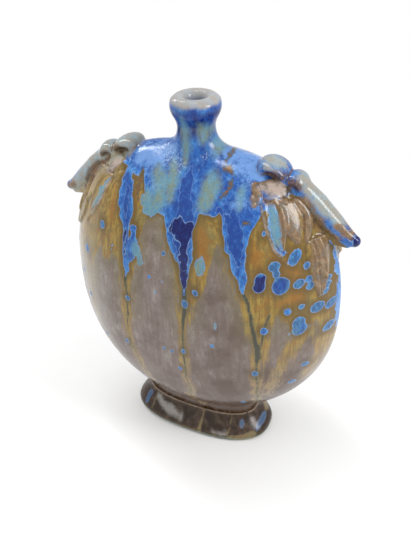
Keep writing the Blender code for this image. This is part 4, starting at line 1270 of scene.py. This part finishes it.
class BUDVASE_OT_foot(bpy.types.Operator):
    """Builds the flared oval foot with its recess"""
    bl_idname = "budvase.foot"
    bl_label = "Foot"

    def execute(self, context):
        sizes = context.scene.vase_sizes

        def foot(x, y, z):
            skin = body_field(x, y, z)
            alone = foot_field(sizes, x, y, z)
            return np.maximum(rooted(alone, skin, sizes.foot_blend), alone - sizes.foot_blend)

        low = (FOOT_LOW.x - FOOT_NET_MARGIN, 0, -FOOT_CELL * 2)
        high = (FOOT_HIGH.x + FOOT_NET_MARGIN, FOOT_HIGH.y + FOOT_NET_MARGIN, FOOT_HIGH.z + FOOT_NET_RISE)
        net = net_piece(foot, low, high, FOOT_CELL)
        mesh_piece("glazed_foot", foot, net, "foot_ring", slot="foot")
        return {"FINISHED"}


def insect_form(insect, side_sign):
    """An insect with the skin round it as one field, on the right for a sign of 1 and the left for -1."""
    def form(x, y, z):
        skin = body_field(x, y, z)
        alone = insect.field(side_sign * x, np.abs(y), z, skin)
        return np.maximum(rooted(alone, skin, INSECT_BLEND), alone - INSECT_REACH)

    return form


class BUDVASE_OT_insects(bpy.types.Operator):
    """Builds the winged insect on each shoulder, sculpted in one with the skin round it"""
    bl_idname = "budvase.insects"
    bl_label = "Insects"

    def execute(self, context):
        sizes = context.scene.vase_sizes
        margin = INSECT_NET_MARGIN
        sides = (("right", 1, HINDWING_ROUTE_SHARES), ("left", -1, LEFT_HINDWING_ROUTE_SHARES))
        for side, sign, route in sides:
            nodes = [f"{side}_{part}" for part in LUMP_NODES]
            nodes += [f"{side}_{part}_{face}" for face in ("front", "back") for part in FACE_NODES]
            corners = [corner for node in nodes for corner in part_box(node)]
            across = [abs(corner.x) for corner in corners]
            heights = [corner.z for corner in corners]
            low = (min(across) - margin, 0, min(heights) - margin * 2)
            high = (max(across) + margin, max(corner.y for corner in corners) + margin, max(heights) + margin)
            insect = Insect(sizes, route)
            points, quads = net_piece(insect_form(insect, 1), low, high, INSECT_CELL)
            if side == "left":
                points[:, 0] *= -1
                quads = quads[:, ::-1]
            mesh_piece(f"{side}_insect", insect_form(insect, sign), (points, quads), *nodes, slot="blue")
        return {"FINISHED"}


# Camera of the photograph: angles in degrees, lengths in metres, lens and sensor in millimetres
VIEW_AZIMUTH = 25.73
VIEW_ELEVATION = 35.62
VIEW_ROLL = -2.10
VIEW_DISTANCE = 0.33037
AIM_ASIDE = 0.00082
AIM_HEIGHT = 0.10271
LENS = 40.855
SENSOR_WIDTH = 36.0
CLIP_START = 0.01

# A long tube from low on the left to overhead, a window on the right and a soft lamp in front, each as
# (name, watts, width and length, azimuth, elevation, distance, whether reflections show it)
LAMPS = (
    ("long_tube", 2.6, (0.030, 1.00), -113, 57, 0.80, True),
    ("right_window", 2.8, (0.22, 0.36), 88, 38, 0.75, True),
    ("soft_front", 2.6, (0.8, 0.8), -45, 50, 1.2, False),
)
ROOM_STRENGTH = 0.70

# Floor: its half side, its paper, and the distances from the middle over which it turns plain white
FLOOR_REACH = 2.0
PAPER_COLOUR = (0.94, 0.94, 0.94)
PAPER_ROUGHNESS = 0.9
WHITE_REACHES = (0.10, 0.24)


def direction(azimuth, elevation):
    """The way out to a place at an azimuth from the front and an elevation, both in degrees."""
    turn, rise = math.radians(azimuth), math.radians(elevation)
    return Vector((math.sin(turn) * math.cos(rise), -math.cos(turn) * math.cos(rise), math.sin(rise)))


class BUDVASE_OT_stage(bpy.types.Operator):
    """Sets the floor, the camera, the lamps and the world"""
    bl_idname = "budvase.stage"
    bl_label = "Stage"

    def execute(self, context):
        scene = context.scene
        scene.view_settings.view_transform = "Standard"
        self.floor(scene)
        self.camera(scene)
        for row in LAMPS:
            self.lamp(scene, *row)
        self.world(scene)
        return {"FINISHED"}

    def floor(self, scene):
        """A pale floor that is white to the camera except where the vase shades it."""
        mesh = bpy.data.meshes.new("studio_floor")
        corners = [(x * FLOOR_REACH, y * FLOOR_REACH, 0) for x, y in ((-1, -1), (1, -1), (1, 1), (-1, 1))]
        mesh.from_pydata(corners, [], [(0, 1, 2, 3)])
        material = bpy.data.materials.new("studio_paper")
        brush = Brush(material)
        brush.join(PAPER_COLOUR, brush.shader.inputs["Base Color"])
        brush.join(PAPER_ROUGHNESS, brush.shader.inputs["Roughness"])
        light = brush.add("ShaderNodeLightPath")
        away = brush.vector("LENGTH", brush.place).outputs["Value"]
        seen = brush.math("MAXIMUM", light.outputs["Is Camera Ray"], light.outputs["Is Glossy Ray"])
        white = brush.add("ShaderNodeEmission", {"Color": (1, 1, 1), "Strength": 1.0}).outputs[0]
        share = brush.times(seen, brush.soft(away, *WHITE_REACHES))
        blend = brush.add("ShaderNodeMixShader", {0: share, 1: brush.shader.outputs[0], 2: white})
        brush.join(blend.outputs[0], brush.tree.nodes["Material Output"].inputs["Surface"])
        mesh.materials.append(material)
        floor = bpy.data.objects.new("studio_floor", mesh)
        scene.collection.objects.link(floor)

    def camera(self, scene):
        """The camera at the photograph's viewing angle."""
        turn, roll = math.radians(VIEW_AZIMUTH), math.radians(VIEW_ROLL)
        back = direction(VIEW_AZIMUTH, VIEW_ELEVATION)
        right = Vector((math.cos(turn), math.sin(turn), 0))
        up = back.cross(right)
        side = right * math.cos(roll) + up * math.sin(roll)
        top = up * math.cos(roll) - right * math.sin(roll)
        camera = bpy.data.objects.new("photo_camera", bpy.data.cameras.new("photo_camera"))
        camera.matrix_world = Matrix((side, top, back)).transposed().to_4x4()
        aim = Vector((0, 0, AIM_HEIGHT)) + right * AIM_ASIDE
        camera.matrix_world.translation = aim + back * VIEW_DISTANCE
        camera.data.lens = LENS
        camera.data.sensor_width = SENSOR_WIDTH
        camera.data.clip_start = CLIP_START
        scene.collection.objects.link(camera)
        scene.camera = camera

    def lamp(self, scene, name, watts, size, azimuth, elevation, distance, glossy):
        """A lamp at a distance from the vase's middle, turned to it."""
        light = bpy.data.lights.new(name, "AREA")
        light.shape = "RECTANGLE"
        light.energy = watts
        light.size, light.size_y = size
        away = direction(azimuth, elevation)
        lamp = bpy.data.objects.new(name, light)
        lamp.matrix_world = away.to_track_quat("Z", "Y").to_matrix().to_4x4()
        lamp.matrix_world.translation = Vector((0, 0, CENTRE)) + away * distance
        lamp.visible_glossy = glossy
        scene.collection.objects.link(lamp)

    def world(self, scene):
        """Even pale surroundings that are plain white to the camera."""
        world = bpy.data.worlds.new("studio_room")
        world.use_nodes = True
        scene.world = world
        tree = world.node_tree
        light = tree.nodes.new("ShaderNodeLightPath")
        strength = tree.nodes.new("ShaderNodeMapRange")
        strength.inputs["To Min"].default_value = ROOM_STRENGTH
        tree.links.new(light.outputs["Is Camera Ray"], strength.inputs["Value"])
        background = tree.nodes["Background"]
        background.inputs["Color"].default_value = (1, 1, 1, 1)
        tree.links.new(strength.outputs["Result"], background.inputs["Strength"])


class BUDVASE_PT_panel(bpy.types.Panel):
    """Lists the vase's pieces, sizes and colours"""
    bl_idname = "BUDVASE_PT_panel"
    bl_label = "Bud Vase"
    bl_space_type = "VIEW_3D"
    bl_region_type = "UI"
    bl_category = "Bud Vase"

    def draw(self, context):
        for group in (context.scene.vase_sizes, context.scene.vase_colours):
            box = self.layout.box()
            for name in group.__annotations__:
                box.prop(group, name)
        for piece in PIECES:
            self.layout.operator(piece.bl_idname)


PIECES = (BUDVASE_OT_body, BUDVASE_OT_neck, BUDVASE_OT_foot, BUDVASE_OT_insects, BUDVASE_OT_stage)
CLASSES = (VaseSizes, VaseColours, *PIECES, BUDVASE_PT_panel)


def register():
    for item in CLASSES:
        bpy.utils.register_class(item)
    bpy.types.Scene.vase_sizes = PointerProperty(type=VaseSizes)
    bpy.types.Scene.vase_colours = PointerProperty(type=VaseColours)


def unregister():
    del bpy.types.Scene.vase_colours
    del bpy.types.Scene.vase_sizes
    for item in reversed(CLASSES):
        bpy.utils.unregister_class(item)


def main():
    """Builds every piece."""
    register()
    bpy.ops.budvase.body()
    bpy.ops.budvase.neck()
    bpy.ops.budvase.foot()
    bpy.ops.budvase.insects()
    bpy.ops.budvase.stage()


if __name__ == "__main__":
    main()
